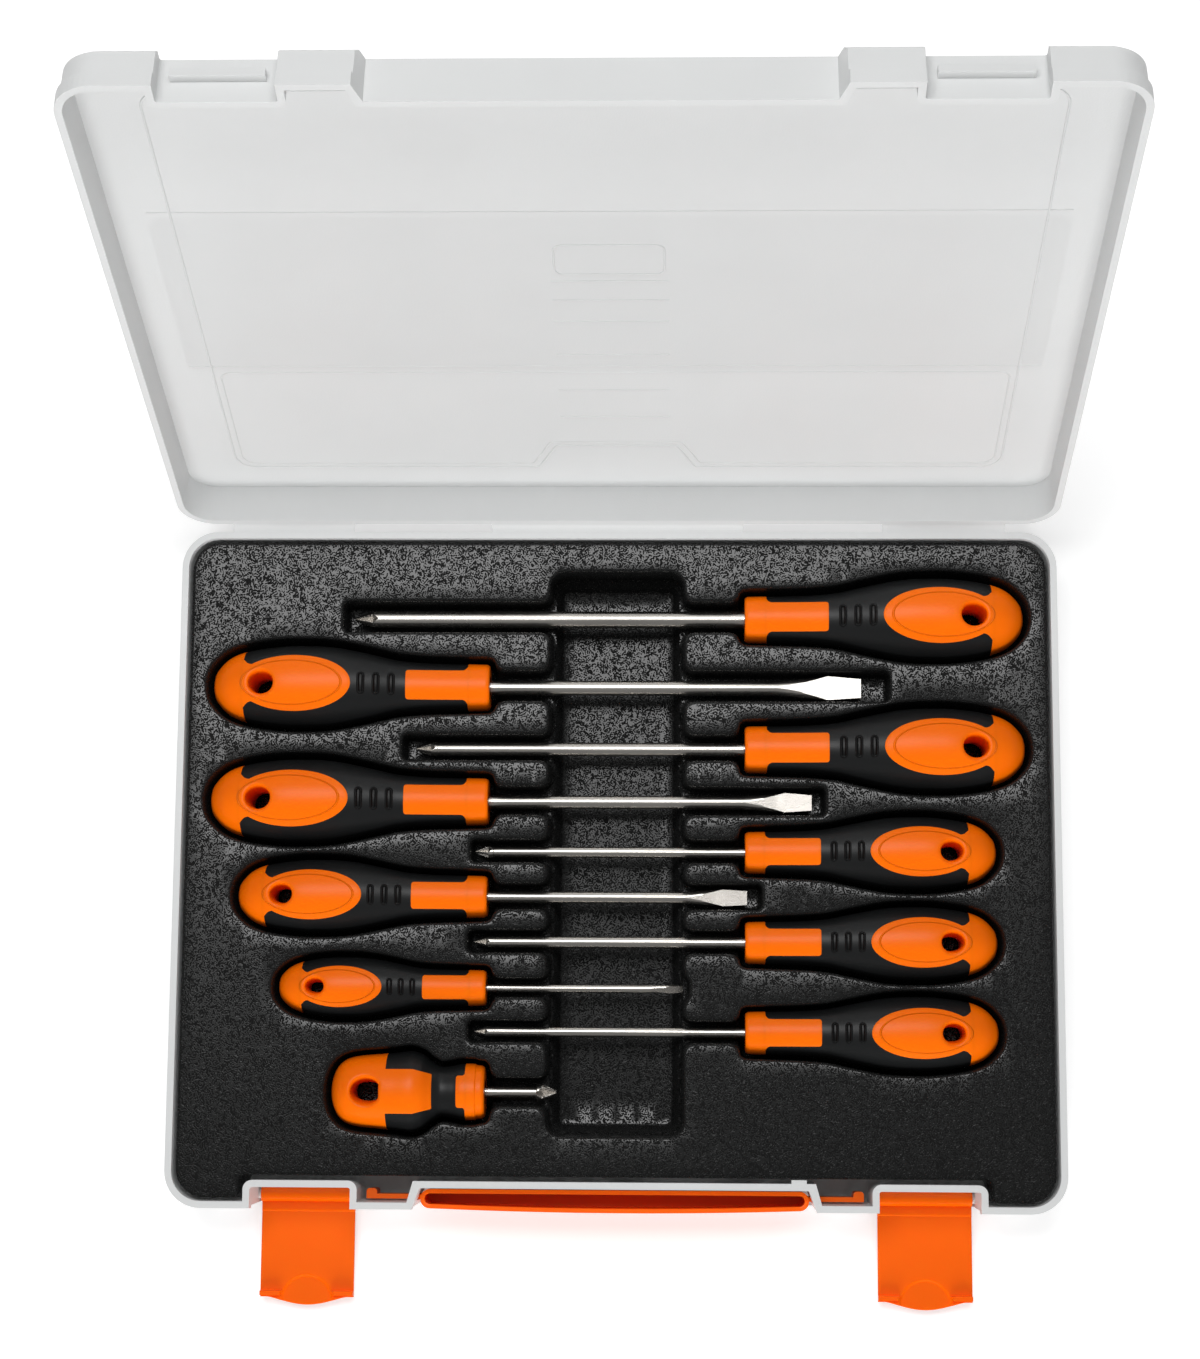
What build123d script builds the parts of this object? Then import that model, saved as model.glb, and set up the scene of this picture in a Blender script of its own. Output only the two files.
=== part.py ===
from build123d import *
import os
from dataclasses import dataclass
from math import cos, pi, radians, sin, tan

# A hard tool case: a clear lid on a living hinge, two swing latches, a strap handle, and a
# vacuum-formed tray that holds ten screwdrivers. Millimetres.
# The origin is the middle of the case's underside, X runs to the right, Y towards the hinge and
# Z up. The lid stands open and both latches lie open, as the case is shown.

# ---- case halves
case_width = 340.0  # over the rim flange, along X
case_depth = 260.0  # over the rim flange, along Y
base_height = 33.0  # underside to parting line
lid_height = 17.0  # parting line to the lid's outer face
corner_radius = 14.0
case_wall = 1.7
wall_draft = 1.5  # degrees
flange_height = 5.5
flange_step = 0.9  # the flange stands out from the wall by this
edge_bevel = 2.4  # round the underside and round the lid's face

# ---- front recesses
latch_room = 51.5  # side of the case to the middle of each latch
pocket_width = 38.0
recess_depth = 8.0
recess_round = 0.9  # less than the gap beside a latch
pocket_floor = 4.2  # underside to the floor of the pockets and the handle bay
bay_back_room = 0.3  # less than the grip's length
bay_flare = 3.0  # the bay widens by this at each side, from its back to its mouth

# ---- lid
lid_open = 109.0  # degrees from closed
hinge_gap = 4.0  # rim to rim when the case lies flat open
hinge_thickness = 0.5
hinge_strip_length = 47.5
hinge_strip_room = 43.5  # side of the case to the middle of an outer strip
hinge_middle_length = 98.0
window_side_margin = 23.0
window_front_margin = 17.5
window_hinge_margin = 15.5  # hinge-side rim to the window
window_round = 8.0
window_recess = 0.4
window_tab_width = 60.0
window_tab_top = 48.0
window_tab_height = 14.0
catch_bar_width = 30.0
catch_bar_height = 3.0
catch_bar_stand = 3.2  # out from the rim face of the latch notch
catch_bar_level = 8.0  # parting line to the bar
card_margin = 14.0  # at each side
card_length = 91.0
card_thickness = 0.3
card_y = 3.5  # middle of the card with the lid closed
card_round = 5.0

# ---- latches
latch_width = 36.0
latch_plate = 1.8
latch_length = 39.2  # pin axis to the end of the plate
latch_lip = 3.0
latch_lip_width = 28.0
latch_barrel_radius = 3.0
latch_pin_radius = 2.0
latch_running_fit = 0.1
latch_snap_slot = 2.6
latch_pin_embed = 1.5
latch_floor_gap = 0.3
ridge_height = 2.3
ridge_width = 1.7
ridge_gap = 0.3  # over the catch bar when the latch is shut

# ---- handle
grip_room = 96.5  # side of the case to each end of the grip
grip_thickness = 7.2
grip_bow = 1.3
grip_height = 20.0
grip_level = 6.0  # underside of the case to the underside of the grip
grip_wall = 1.6
grip_back_gap = 0.5  # from the back of the bay
strap_thickness = 1.8
strap_height = 12.0
strap_inset = 2.9  # back of the grip to the middle of the strap
strap_clearance = 0.6
strap_stub = 1.2  # of the grip's own moulding, at each end
hook_room = 2.5  # end of each hook to the latch pocket's wall
hook_width = 4.0
hook_rise = 2.1
hook_round = 1.3
rim_tab_room = 3.7  # corner of the bay to the middle of the tab on its rim
rim_tab_width = 5.7
rim_tab_stand = 1.4
rim_tab_height = 7.0

# ---- tray
tray_drop = 2.0  # parting line to the tray's top
tray_sheet = 1.0
tray_gap = 0.4  # at the foot of the skirt
tray_front_room = 12.4  # rim's front to the tray's edge behind the pockets
tray_lobe_room = 28.0  # side of the case to each corner lobe's edge
tray_round = 11.0
channel_width = 52.0
channel_length = 217.0
channel_y = 6.0
channel_floor = 8.0
channel_round = 6.0
channel_draft = 9.0  # degrees
cavity_clearance = 2.0
cavity_seat = 0.3  # under the handles
slot_under_room = 3.0

# ---- screwdrivers
driver_axis = 24.0  # underside of the case to every screwdriver's axis
butt_room = 12.5  # side of the case to the butt of the longest handle
first_row_room = 33.2  # rim's back to the first screwdriver's axis
tang_length = 24.0
tang_fit = 0.05
tang_share = 0.7  # side of the square tang to the shaft's diameter
spine_half = 4.6
handle_sides = 8
window_sides = 10
hole_sides = 12
point_share = 0.3  # a cross tip's point to its root
rib_share = 0.55  # a rib's thickness to the shaft's radius
cross_tip_share = 2.4  # a cross tip's length to the shaft's radius
flat_tip_share = 0.16  # tip thickness to blade width
flare_share = 4.0  # a flat tip's flare to its width
flare_neck_share = 0.9  # the flare's neck to the shaft's radius
flare_belly = 0.55  # how far along the flare it is widest
flare_belly_share = 1.08  # that width to the tip's


@dataclass(frozen=True)
class Handle:
    """A moulded handle, measured from its front face towards its butt."""

    profile: tuple  # (distance, radius) from the collar to the butt
    collar_length: float
    strip_end: float
    strip_half: float
    window_x: float
    window_half_length: float
    window_half_width: float
    tail_half: float
    butt_x: float
    hole_x: float
    hole_radius: float

    @property
    def length(self):
        return self.profile[-1][0]

    @property
    def radius(self):
        return max(radius for _, radius in self.profile)


@dataclass(frozen=True)
class Driver:
    """A screwdriver in its row of the tray; side is 1 with its handle on the right."""

    number: int
    side: int
    pitch: float  # from the row before
    handle: Handle
    blade_length: float
    shaft: float
    tip_width: float
    slot_width: float
    slot_room: float  # beyond the tip


large = Handle(
    profile=((0, 8.8), (32, 10.0), (48, 13.4), (62, 15.7), (77, 16.2), (92, 14.4), (102, 10.4), (108, 4.5)),
    collar_length=8.4,
    strip_end=32.0,
    strip_half=5.6,
    window_x=75.8,
    window_half_length=22.0,
    window_half_width=10.8,
    tail_half=9.4,
    butt_x=96.0,
    hole_x=88.0,
    hole_radius=4.9,
)
medium = Handle(
    profile=((0, 7.8), (28.5, 8.9), (43, 11.8), (56, 13.6), (69, 14.0), (82, 12.5), (91, 9.1), (96.3, 4.0)),
    collar_length=7.6,
    strip_end=28.5,
    strip_half=5.0,
    window_x=68.0,
    window_half_length=19.0,
    window_half_width=9.2,
    tail_half=8.0,
    butt_x=86.0,
    hole_x=78.2,
    hole_radius=4.3,
)
small = Handle(
    profile=((0, 6.6), (24, 7.4), (35.5, 9.7), (46, 11.2), (57, 11.5), (68, 10.2), (75.3, 7.4), (79.7, 3.2)),
    collar_length=6.6,
    strip_end=24.0,
    strip_half=4.4,
    window_x=56.5,
    window_half_length=15.5,
    window_half_width=7.6,
    tail_half=6.6,
    butt_x=71.4,
    hole_x=65.2,
    hole_radius=3.5,
)
stubby = Handle(
    profile=((0, 9.6), (3.4, 10.5), (14, 9.4), (24, 14.8), (29, 15.3), (50, 12.9), (55.5, 9.8), (58.5, 4)),
    collar_length=3.4,
    strip_end=10.4,
    strip_half=6.0,
    window_x=30.0,
    window_half_length=10.0,
    window_half_width=8.1,
    tail_half=8.1,
    butt_x=37.2,
    hole_x=45.2,
    hole_radius=5.0,
)

drivers = [
    Driver(1, 1, 0.0, large, 152.4, 6.6, 0.0, 12.0, 3.8),
    Driver(2, -1, 27.0, large, 144.1, 5.8, 8.0, 12.0, 10.7),
    Driver(3, 1, 24.1, large, 127.7, 5.2, 0.0, 10.0, 4.8),
    Driver(4, -1, 20.6, large, 124.8, 5.2, 6.5, 11.0, 5.2),
    Driver(5, 1, 19.4, medium, 103.9, 4.2, 0.0, 9.0, 1.6),
    Driver(6, -1, 17.4, medium, 99.8, 4.6, 5.5, 10.0, 5.8),
    Driver(7, 1, 17.2, medium, 104.2, 4.5, 0.0, 9.0, 2.0),
    Driver(8, -1, 17.7, small, 75.2, 3.1, 2.9, 7.5, 2.5),
    Driver(9, 1, 16.5, medium, 103.5, 3.8, 0.0, 8.5, 2.2),
    Driver(10, -1, 22.9, stubby, 27.1, 4.4, 0.0, 11.0, 4.0),
]

# ---- places worked out from the sizes
rim_wall = flange_step + case_wall
latch_x = case_width / 2 - latch_room
grip_length = case_width - 2 * grip_room
bay_back_width = grip_length - 2 * bay_back_room
bay_mouth_width = bay_back_width + 2 * bay_flare
rim_tab_x = bay_back_width / 2 - rim_tab_room
hinge_strip_x = case_width / 2 - hinge_strip_room
window_width = case_width - 2 * window_side_margin
window_length = case_depth - window_hinge_margin - window_front_margin
card_width = case_width - 2 * card_margin
tray_front = tray_front_room - case_depth / 2
tray_lobe_x = case_width / 2 - tray_lobe_room
collar_x = case_width / 2 - butt_room - large.length
first_row_y = case_depth / 2 - first_row_room
hinge_y = case_depth / 2 + hinge_gap / 2
recess_y = case_depth / 2 - recess_depth
latch_axis_y = -(recess_y + latch_barrel_radius + latch_running_fit)
latch_axis_z = pocket_floor + latch_floor_gap + latch_barrel_radius
tray_top = base_height - tray_drop
grip_back_y = -(recess_y + grip_back_gap)
grip_y = grip_back_y - grip_thickness / 2
strap_y = grip_back_y - strap_inset
strap_z = grip_level + grip_height / 2

# Both rim planes look out of their half, with the case's front along their own +Y.
base_rim = Plane(origin=(0, 0, base_height), x_dir=(1, 0, 0), z_dir=(0, 0, -1))
lid_rim_shut = Plane(origin=(0, 0, base_height), x_dir=(-1, 0, 0), z_dir=(0, 0, 1))
hinge_place = Location((0, hinge_y, base_height))
lid_turn = hinge_place * Location((0, 0, 0), (-lid_open, 0, 0)) * hinge_place.inverse()
lid_rim = Plane(lid_turn * lid_rim_shut.location)


os.makedirs("parts", exist_ok=True)


def save(part, name):
    part.label = name
    export_step(part, f"parts/{name}.step")


def front_recesses(rim, grow):
    """The latch pockets and the handle bay in plan, grown by the wall that surrounds them."""
    depth = recess_depth + grow
    back = case_depth / 2 - depth
    with BuildSketch(rim) as recesses:
        with Locations((-latch_x, case_depth / 2), (latch_x, case_depth / 2)):
            RectangleRounded(pocket_width + 2 * grow, 2 * depth, recess_round + grow)
        with BuildLine():
            Polyline(
                (0, back),
                (bay_back_width / 2 + grow, back),
                (bay_mouth_width / 2 + grow, case_depth / 2),
                (bay_mouth_width / 2 + grow, case_depth / 2 + depth),
                (0, case_depth / 2 + depth),
            )
            mirror(about=Plane.YZ)
        make_face()
    return recesses.sketch


def moulded_half(rim, height, recess_reach):
    """One half of the case, from its rim plane outwards: drafted tub, flange and recesses."""
    with BuildPart() as hollow:
        with BuildSketch(rim):
            RectangleRounded(
                case_width - 2 * rim_wall, case_depth - 2 * rim_wall, corner_radius - rim_wall
            )
        extrude(amount=height - case_wall, taper=wall_draft)
        extrude(front_recesses(rim, rim_wall), amount=height, mode=Mode.SUBTRACT)
    with BuildPart() as half:
        with BuildSketch(rim):
            RectangleRounded(
                case_width - 2 * flange_step,
                case_depth - 2 * flange_step,
                corner_radius - flange_step,
            )
        extrude(amount=height, taper=wall_draft)
        outer_face = half.faces().sort_by(Axis(rim.origin, rim.z_dir))[-1]
        chamfer(outer_face.edges(), edge_bevel)
        with BuildSketch(rim):
            RectangleRounded(case_width, case_depth, corner_radius)
        extrude(amount=flange_height)
        extrude(front_recesses(rim, 0), amount=recess_reach, mode=Mode.SUBTRACT)
        add(hollow.part, mode=Mode.SUBTRACT)
    return half.part


# ---- base: tub with the latch pins and the strap windows
wall_near_bay = (bay_back_width + bay_mouth_width) / 4 + rim_wall / 2
strap_window_length = bay_mouth_width - bay_back_width + 2 * rim_wall
with BuildPart() as base_shell:
    add(moulded_half(base_rim, base_height, base_height - pocket_floor))
    with Locations((-latch_x, latch_axis_y, latch_axis_z), (latch_x, latch_axis_y, latch_axis_z)):
        Cylinder(latch_pin_radius, pocket_width + 2 * latch_pin_embed, rotation=(0, 90, 0))
    with Locations((-wall_near_bay, strap_y, strap_z), (wall_near_bay, strap_y, strap_z)):
        Box(
            strap_window_length,
            strap_thickness + 2 * strap_clearance,
            strap_height + 2 * strap_clearance,
            mode=Mode.SUBTRACT,
        )
    with Locations((rim_tab_x, rim_wall - recess_y, base_height)):
        Box(rim_tab_width, rim_tab_stand, rim_tab_height, align=(Align.CENTER, Align.MIN, Align.MAX))
save(base_shell.part, "base_shell")

# ---- lid: shallow tub with a polished window panel and two catch bars
window_y = hinge_y - hinge_gap / 2 - window_hinge_margin - window_length / 2
window_edge_y = window_y + window_length / 2
with BuildPart() as lid_shell:
    add(moulded_half(lid_rim, lid_height, lid_height))
    with BuildSketch(lid_rim.offset(lid_height)):
        with Locations((0, -window_y)):
            RectangleRounded(window_width, window_length, window_round)
        with BuildLine():
            Polyline(
                (-window_tab_width / 2, -window_edge_y),
                (-window_tab_top / 2, -window_edge_y + window_tab_height),
                (window_tab_top / 2, -window_edge_y + window_tab_height),
                (window_tab_width / 2, -window_edge_y),
                close=True,
            )
        make_face(mode=Mode.SUBTRACT)
    extrude(amount=-window_recess, mode=Mode.SUBTRACT)
    with BuildSketch(lid_rim.offset(catch_bar_level)):
        with Locations((-latch_x, recess_y - rim_wall / 2), (latch_x, recess_y - rim_wall / 2)):
            Rectangle(
                catch_bar_width,
                catch_bar_stand + rim_wall / 2,
                align=(Align.CENTER, Align.MIN),
            )
    extrude(amount=catch_bar_height)
save(lid_shell.part, "lid_shell")

with BuildPart() as lid_card:
    with BuildSketch(lid_rim.offset(lid_height)):
        with Locations((0, -card_y)):
            RectangleRounded(card_width, card_length, card_round)
    extrude(amount=card_thickness)
save(lid_card.part, "lid_card")


# ---- living hinge: thin strips bent between the two rims
def hinge_strip(middle_x, length):
    """A strip whose arc leaves the base's rim level and meets the lid's rim square on."""
    half = hinge_thickness / 2
    start = (case_depth / 2, base_height - half)
    lid_edge = lid_rim.from_local_coords((0, -case_depth / 2, half))
    with BuildPart() as strip:
        with BuildSketch(Plane.YZ.offset(middle_x)):
            with BuildLine():
                TangentArc(start, (lid_edge.Y, lid_edge.Z), tangent=(1, 0))
            trace(line_width=hinge_thickness)
        extrude(amount=length / 2, both=True)
    return strip.part


save(hinge_strip(-hinge_strip_x, hinge_strip_length), "hinge_strip_left")
save(hinge_strip(0, hinge_middle_length), "hinge_strip_middle")
save(hinge_strip(hinge_strip_x, hinge_strip_length), "hinge_strip_right")


# ---- latches: a clip round the pin, a plate, a catch ridge and a lip, lying open
def latch(middle_x):
    bore = latch_pin_radius + latch_running_fit
    plate_bottom = latch_axis_z - latch_barrel_radius
    ridge_reach = base_height + catch_bar_level + catch_bar_height + ridge_gap - latch_axis_z
    with BuildPart() as swing:
        with BuildSketch(Plane.YZ.offset(middle_x)):
            with Locations((latch_axis_y, latch_axis_z)):
                Circle(latch_barrel_radius)
            with Locations((latch_axis_y, plate_bottom)):
                Rectangle(latch_length, latch_plate, align=(Align.MAX, Align.MIN))
            with Locations((latch_axis_y - ridge_reach, plate_bottom)):
                Rectangle(ridge_width, latch_plate + ridge_height, align=(Align.MAX, Align.MIN))
            with Locations((latch_axis_y, latch_axis_z)):
                Circle(bore, mode=Mode.SUBTRACT)
                Rectangle(
                    2 * latch_barrel_radius,
                    latch_snap_slot,
                    align=(Align.MIN, Align.CENTER),
                    mode=Mode.SUBTRACT,
                )
        extrude(amount=latch_width / 2, both=True)
        end_y = latch_axis_y - latch_length
        with BuildSketch(Plane.XY.offset(plate_bottom)):
            with BuildLine():
                ThreePointArc(
                    (middle_x - latch_lip_width / 2, end_y),
                    (middle_x, end_y - latch_lip),
                    (middle_x + latch_lip_width / 2, end_y),
                )
                Line(
                    (middle_x + latch_lip_width / 2, end_y),
                    (middle_x - latch_lip_width / 2, end_y),
                )
            make_face()
        extrude(amount=latch_plate)
    return swing.part


save(latch(-latch_x), "latch_left")
save(latch(latch_x), "latch_right")


# ---- handle: a bowed, open-topped grip with a strap and a hook at each end
def grip_outline(inset, level):
    """The grip in plan: a straight back, round ends and a front bowed outwards."""
    end_radius = grip_thickness / 2 - inset
    straight = grip_length / 2 - grip_thickness / 2
    back = grip_back_y - inset
    front = grip_back_y - grip_thickness + inset
    with BuildSketch(Plane.XY.offset(level)) as outline:
        with BuildLine():
            Line((-straight, back), (straight, back))
            ThreePointArc((straight, back), (straight + end_radius, grip_y), (straight, front))
            ThreePointArc((straight, front), (0, front - grip_bow), (-straight, front))
            ThreePointArc((-straight, front), (-straight - end_radius, grip_y), (-straight, back))
        make_face()
    return outline.sketch


strap_start = grip_length / 2 + strap_stub
hook_x = latch_x - pocket_width / 2 - rim_wall - hook_room
with BuildPart() as handle_grip:
    extrude(grip_outline(0, grip_level), amount=grip_height)
    with Locations((0, strap_y, strap_z)):
        Box(2 * strap_start, strap_thickness, strap_height)
    grip_floor = grip_level + grip_wall
    extrude(grip_outline(grip_wall, grip_floor), amount=grip_height, mode=Mode.SUBTRACT)
save(handle_grip.part, "handle_grip")


def strap(side):
    with BuildPart() as band:
        with BuildSketch(Plane.XY.offset(strap_z - strap_height / 2)):
            with Locations(((strap_start + hook_x) / 2 * side, strap_y)):
                Rectangle(hook_x - strap_start, strap_thickness)
            with Locations(((hook_x - hook_width / 2) * side, strap_y - strap_thickness / 2)):
                Rectangle(
                    hook_width, strap_thickness + hook_rise, align=(Align.CENTER, Align.MIN)
                )
        extrude(amount=strap_height)
        fillet(band.edges().filter_by(Axis.Z).group_by(Axis.Y)[-1], hook_round)
    return band.part


save(strap(-1), "handle_strap_left")
save(strap(1), "handle_strap_right")


# ---- screwdrivers
def driver_frame(driver):
    """A plane at the handle's front face whose X runs to the butt."""
    row_y = first_row_y - sum(row.pitch for row in drivers[: driver.number])
    return Plane(
        origin=(driver.side * collar_x, row_y, driver_axis),
        x_dir=(driver.side, 0, 0),
        z_dir=(0, 0, 1),
    )


def silhouette(plane, handle, grow=0.0):
    """The handle's outline: collar, waist, swell and butt, grown for a cavity."""
    with BuildSketch(plane) as outline:
        with BuildLine():
            Polyline((0, 0), *handle.profile, (handle.length, 0))
            mirror(about=Plane.XZ)
        make_face()
        if grow:
            offset(amount=grow, kind=Kind.INTERSECTION, mode=Mode.REPLACE)
    return outline.sketch


def handle_form(frame, handle):
    """The whole handle: its outline extruded on planes turned about its axis and intersected."""
    reach = 2 * handle.radius
    with BuildPart() as form:
        extrude(silhouette(frame, handle), amount=reach, both=True)
        for step in range(1, handle_sides // 2):
            turned = frame.rotated((step * 360 / handle_sides, 0, 0))
            extrude(silhouette(turned, handle), amount=reach, both=True, mode=Mode.INTERSECT)
    return form.part


def window_outline(handle):
    """Points of the oval window round its middle."""
    turns = [2 * pi * step / window_sides for step in range(window_sides)]
    return [
        (
            handle.window_x + handle.window_half_length * cos(turn),
            handle.window_half_width * sin(turn),
        )
        for turn in turns
    ]


def core_zone(frame, handle):
    """Where the hard core reaches the surface, in plan, with the spine that joins it up."""
    with BuildPart() as zone:
        with BuildSketch(frame):
            with Locations((handle.collar_length / 2, 0)):
                Rectangle(handle.collar_length, 4 * handle.radius)
            with Locations((handle.strip_end / 2, 0)):
                Rectangle(handle.strip_end, 2 * handle.strip_half)
            Polygon(*window_outline(handle), align=None)
            with Locations(((handle.window_x + handle.butt_x) / 2, 0)):
                Rectangle(handle.butt_x - handle.window_x, 2 * handle.tail_half)
            with Locations((handle.butt_x, 0)):
                Rectangle(handle.length, 4 * handle.radius, align=(Align.MIN, Align.CENTER))
        extrude(amount=2 * handle.radius, both=True)
        with BuildSketch(frame.offset(-spine_half)):
            Rectangle(handle.window_x, 2 * spine_half, align=(Align.MIN, Align.CENTER))
        extrude(amount=2 * spine_half)
    return zone.part


def across(frame, x=0.0):
    """A plane square to the screwdriver's axis that looks towards the butt."""
    return Plane(frame.from_local_coords((x, 0, 0)), x_dir=(0, 1, 0), z_dir=frame.x_dir)


def tang_square(frame, driver, grow=0.0):
    """The square tang that keeps the blade from turning in the core."""
    side = driver.shaft * tang_share + 2 * grow
    with BuildSketch(across(frame)) as square:
        Rectangle(side, side)
    return square.sketch


def handle_pieces(frame, driver):
    """The hard core with its bore and hanging hole, and the soft grip moulded round it."""
    handle = driver.handle
    form = handle_form(frame, handle)
    zone = core_zone(frame, handle)
    with BuildPart() as core:
        add(form)
        add(zone, mode=Mode.INTERSECT)
        extrude(
            tang_square(frame, driver, tang_fit),
            amount=tang_length + tang_fit,
            mode=Mode.SUBTRACT,
        )
        with BuildSketch(frame):
            with Locations((handle.hole_x, 0)):
                RegularPolygon(handle.hole_radius, hole_sides)
        extrude(amount=2 * handle.radius, both=True, mode=Mode.SUBTRACT)
    with BuildPart() as grip:
        add(form)
        add(zone, mode=Mode.SUBTRACT)
    return core.part, grip.part


def round_shaft(frame, driver, tip_length):
    """The shaft from the handle's face to the root of its tip, with its tang."""
    with BuildPart() as shaft:
        with BuildSketch(across(frame, tip_length - driver.blade_length)):
            Circle(driver.shaft / 2)
        extrude(amount=driver.blade_length - tip_length)
        extrude(tang_square(frame, driver), amount=tang_length)
    return shaft.part


def cross_blade(frame, driver):
    """A round shaft with a pointed tip of four ribs."""
    radius = driver.shaft / 2
    tip_length = cross_tip_share * radius
    end = -driver.blade_length
    with BuildPart() as blade:
        add(round_shaft(frame, driver, tip_length))
        for turn in (45, 135):
            with BuildSketch(frame.rotated((turn, 0, 0))):
                with BuildLine():
                    Polyline(
                        (end, 0),
                        (end, radius * point_share),
                        (end + tip_length, radius),
                        (end + tip_length, 0),
                    )
                    mirror(about=Plane.XZ)
                make_face()
            extrude(amount=rib_share * radius / 2, both=True)
    return blade.part


def flat_blade(frame, driver):
    """A round shaft that flares into a flat tip: a plan outline and a side outline intersected."""
    neck = driver.shaft / 2 * flare_neck_share
    half_tip = driver.tip_width / 2
    half_edge = driver.tip_width * flat_tip_share / 2
    end = -driver.blade_length
    flare = flare_share * driver.tip_width
    with BuildPart() as tip:
        with BuildSketch(frame):
            with BuildLine():
                Polyline(
                    (end, 0),
                    (end, half_tip),
                    (end + flare_belly * flare, half_tip * flare_belly_share),
                    (end + flare, neck),
                    (end + flare, 0),
                )
                mirror(about=Plane.XZ)
            make_face()
        extrude(amount=driver.shaft, both=True)
        with BuildSketch(frame.rotated((90, 0, 0))):
            with BuildLine():
                Polyline((end, 0), (end, half_edge), (end + flare, neck), (end + flare, 0))
                mirror(about=Plane.XZ)
            make_face()
        extrude(amount=driver.tip_width, both=True, mode=Mode.INTERSECT)
    with BuildPart() as blade:
        add(round_shaft(frame, driver, flare))
        add(tip.part)
    return blade.part


for driver in drivers:
    frame = driver_frame(driver)
    core, grip = handle_pieces(frame, driver)
    blade = flat_blade(frame, driver) if driver.tip_width else cross_blade(frame, driver)
    save(blade, f"screwdriver_{driver.number}_blade")
    save(core, f"screwdriver_{driver.number}_core")
    save(grip, f"screwdriver_{driver.number}_grip")


# ---- tray: one thin sheet formed down into a cavity for each screwdriver
def tray_outline(plane, inset):
    """The tray in plan, with the front cut back behind the pockets between two corner lobes."""
    gap = rim_wall + tray_gap + (base_height - case_wall) * tan(radians(wall_draft)) + inset
    with BuildSketch(plane) as outline:
        RectangleRounded(case_width - 2 * gap, case_depth - 2 * gap, tray_round - inset)
        with Locations((0, tray_front + inset)):
            Rectangle(
                2 * (tray_lobe_x + inset),
                case_depth,
                align=(Align.CENTER, Align.MAX),
                mode=Mode.SUBTRACT,
            )
    return outline.sketch


def formed_cavities(skin):
    """All the hollows under the tray's top, each grown by skin on every side and below."""
    with BuildPart() as hollows:
        with BuildSketch(Plane.XY.offset(tray_top)):
            with Locations((0, channel_y)):
                RectangleRounded(
                    channel_width + 2 * skin, channel_length + 2 * skin, channel_round + skin
                )
        extrude(amount=-(tray_top - channel_floor + skin), taper=channel_draft)
        for driver in drivers:
            handle = driver.handle
            handle_floor = driver_axis - handle.radius - cavity_seat - skin
            plane = driver_frame(driver).offset(tray_top - driver_axis)
            extrude(
                silhouette(plane, handle, cavity_clearance + skin),
                amount=-(tray_top - handle_floor),
            )
            slot_floor = driver_axis - driver.shaft / 2 - slot_under_room - skin
            slot_length = driver.blade_length + driver.slot_room + skin + handle.collar_length
            with BuildSketch(plane):
                with Locations((handle.collar_length - slot_length / 2, 0)):
                    Rectangle(slot_length, driver.slot_width + 2 * skin)
            extrude(amount=-(tray_top - slot_floor))
    return hollows.part


tray_height = tray_top - case_wall
sheet_plane = Plane.XY.offset(tray_top)
with BuildPart() as tray_underside:
    extrude(tray_outline(sheet_plane.offset(-tray_sheet), tray_sheet), amount=-tray_height)
    add(formed_cavities(tray_sheet), mode=Mode.SUBTRACT)
with BuildPart() as tray_insert:
    extrude(tray_outline(sheet_plane, 0), amount=-tray_height)
    add(tray_underside.part, mode=Mode.SUBTRACT)
    add(formed_cavities(0), mode=Mode.SUBTRACT)
save(tray_insert.part, "tray_insert")
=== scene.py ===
import math
import time
import bpy
import bmesh
import numpy as np
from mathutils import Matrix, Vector, geometry


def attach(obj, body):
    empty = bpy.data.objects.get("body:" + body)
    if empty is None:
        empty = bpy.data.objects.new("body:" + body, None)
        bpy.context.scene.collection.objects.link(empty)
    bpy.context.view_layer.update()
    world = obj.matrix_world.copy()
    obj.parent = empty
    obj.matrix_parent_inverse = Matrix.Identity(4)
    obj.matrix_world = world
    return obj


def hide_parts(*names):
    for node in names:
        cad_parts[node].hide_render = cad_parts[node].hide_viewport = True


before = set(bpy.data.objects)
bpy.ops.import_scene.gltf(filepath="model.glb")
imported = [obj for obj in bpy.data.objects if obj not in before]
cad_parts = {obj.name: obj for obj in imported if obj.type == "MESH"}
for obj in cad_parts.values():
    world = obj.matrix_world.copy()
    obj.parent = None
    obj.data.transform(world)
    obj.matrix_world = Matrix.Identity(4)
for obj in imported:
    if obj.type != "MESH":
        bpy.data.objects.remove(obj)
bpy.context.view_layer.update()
mm = 0.001
pi = math.pi
began = time.time()


def report(stage):
    print(f"stage: {stage}, {time.time() - began:.0f} s")


report("frame loaded")


# a piece is a list of patches; a patch is (points in mm, faces, uv per point or None)
def gridFaces(rows, columns, closed=False):
    # quads between neighbouring rows and columns; closed joins the last column to the first
    i = np.arange(rows - 1)[:, None]
    j = np.arange(columns if closed else columns - 1)[None, :]
    k = (j + 1) % columns
    quads = [i * columns + j, i * columns + k, (i + 1) * columns + k, (i + 1) * columns + j]
    return np.stack([np.broadcast_to(q, (rows - 1, j.shape[1])) for q in quads], -1).reshape(-1, 4)


def makePiece(name, patches, body, material, replaces=(), sharp=38, merge=0.004):
    points = np.concatenate([p[0] for p in patches])
    starts = np.cumsum([0] + [len(p[0]) for p in patches])
    faces = [face for patch, start in zip(patches, starts) for face in (patch[1] + start).tolist()]
    mesh = bpy.data.meshes.new(name)
    mesh.from_pydata((points * mm).tolist(), [], faces)
    if patches[0][2] is not None:
        flat = np.concatenate([p[2] for p in patches])
        layer = mesh.uv_layers.new(name="plan")
        index = np.empty(len(mesh.loops), np.int32)
        mesh.loops.foreach_get("vertex_index", index)
        layer.data.foreach_set("uv", flat[index].astype(np.float32).ravel())
    tidyMesh(mesh, merge * mm, sharp)
    return addPiece(name, mesh, body, material, replaces)


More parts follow.
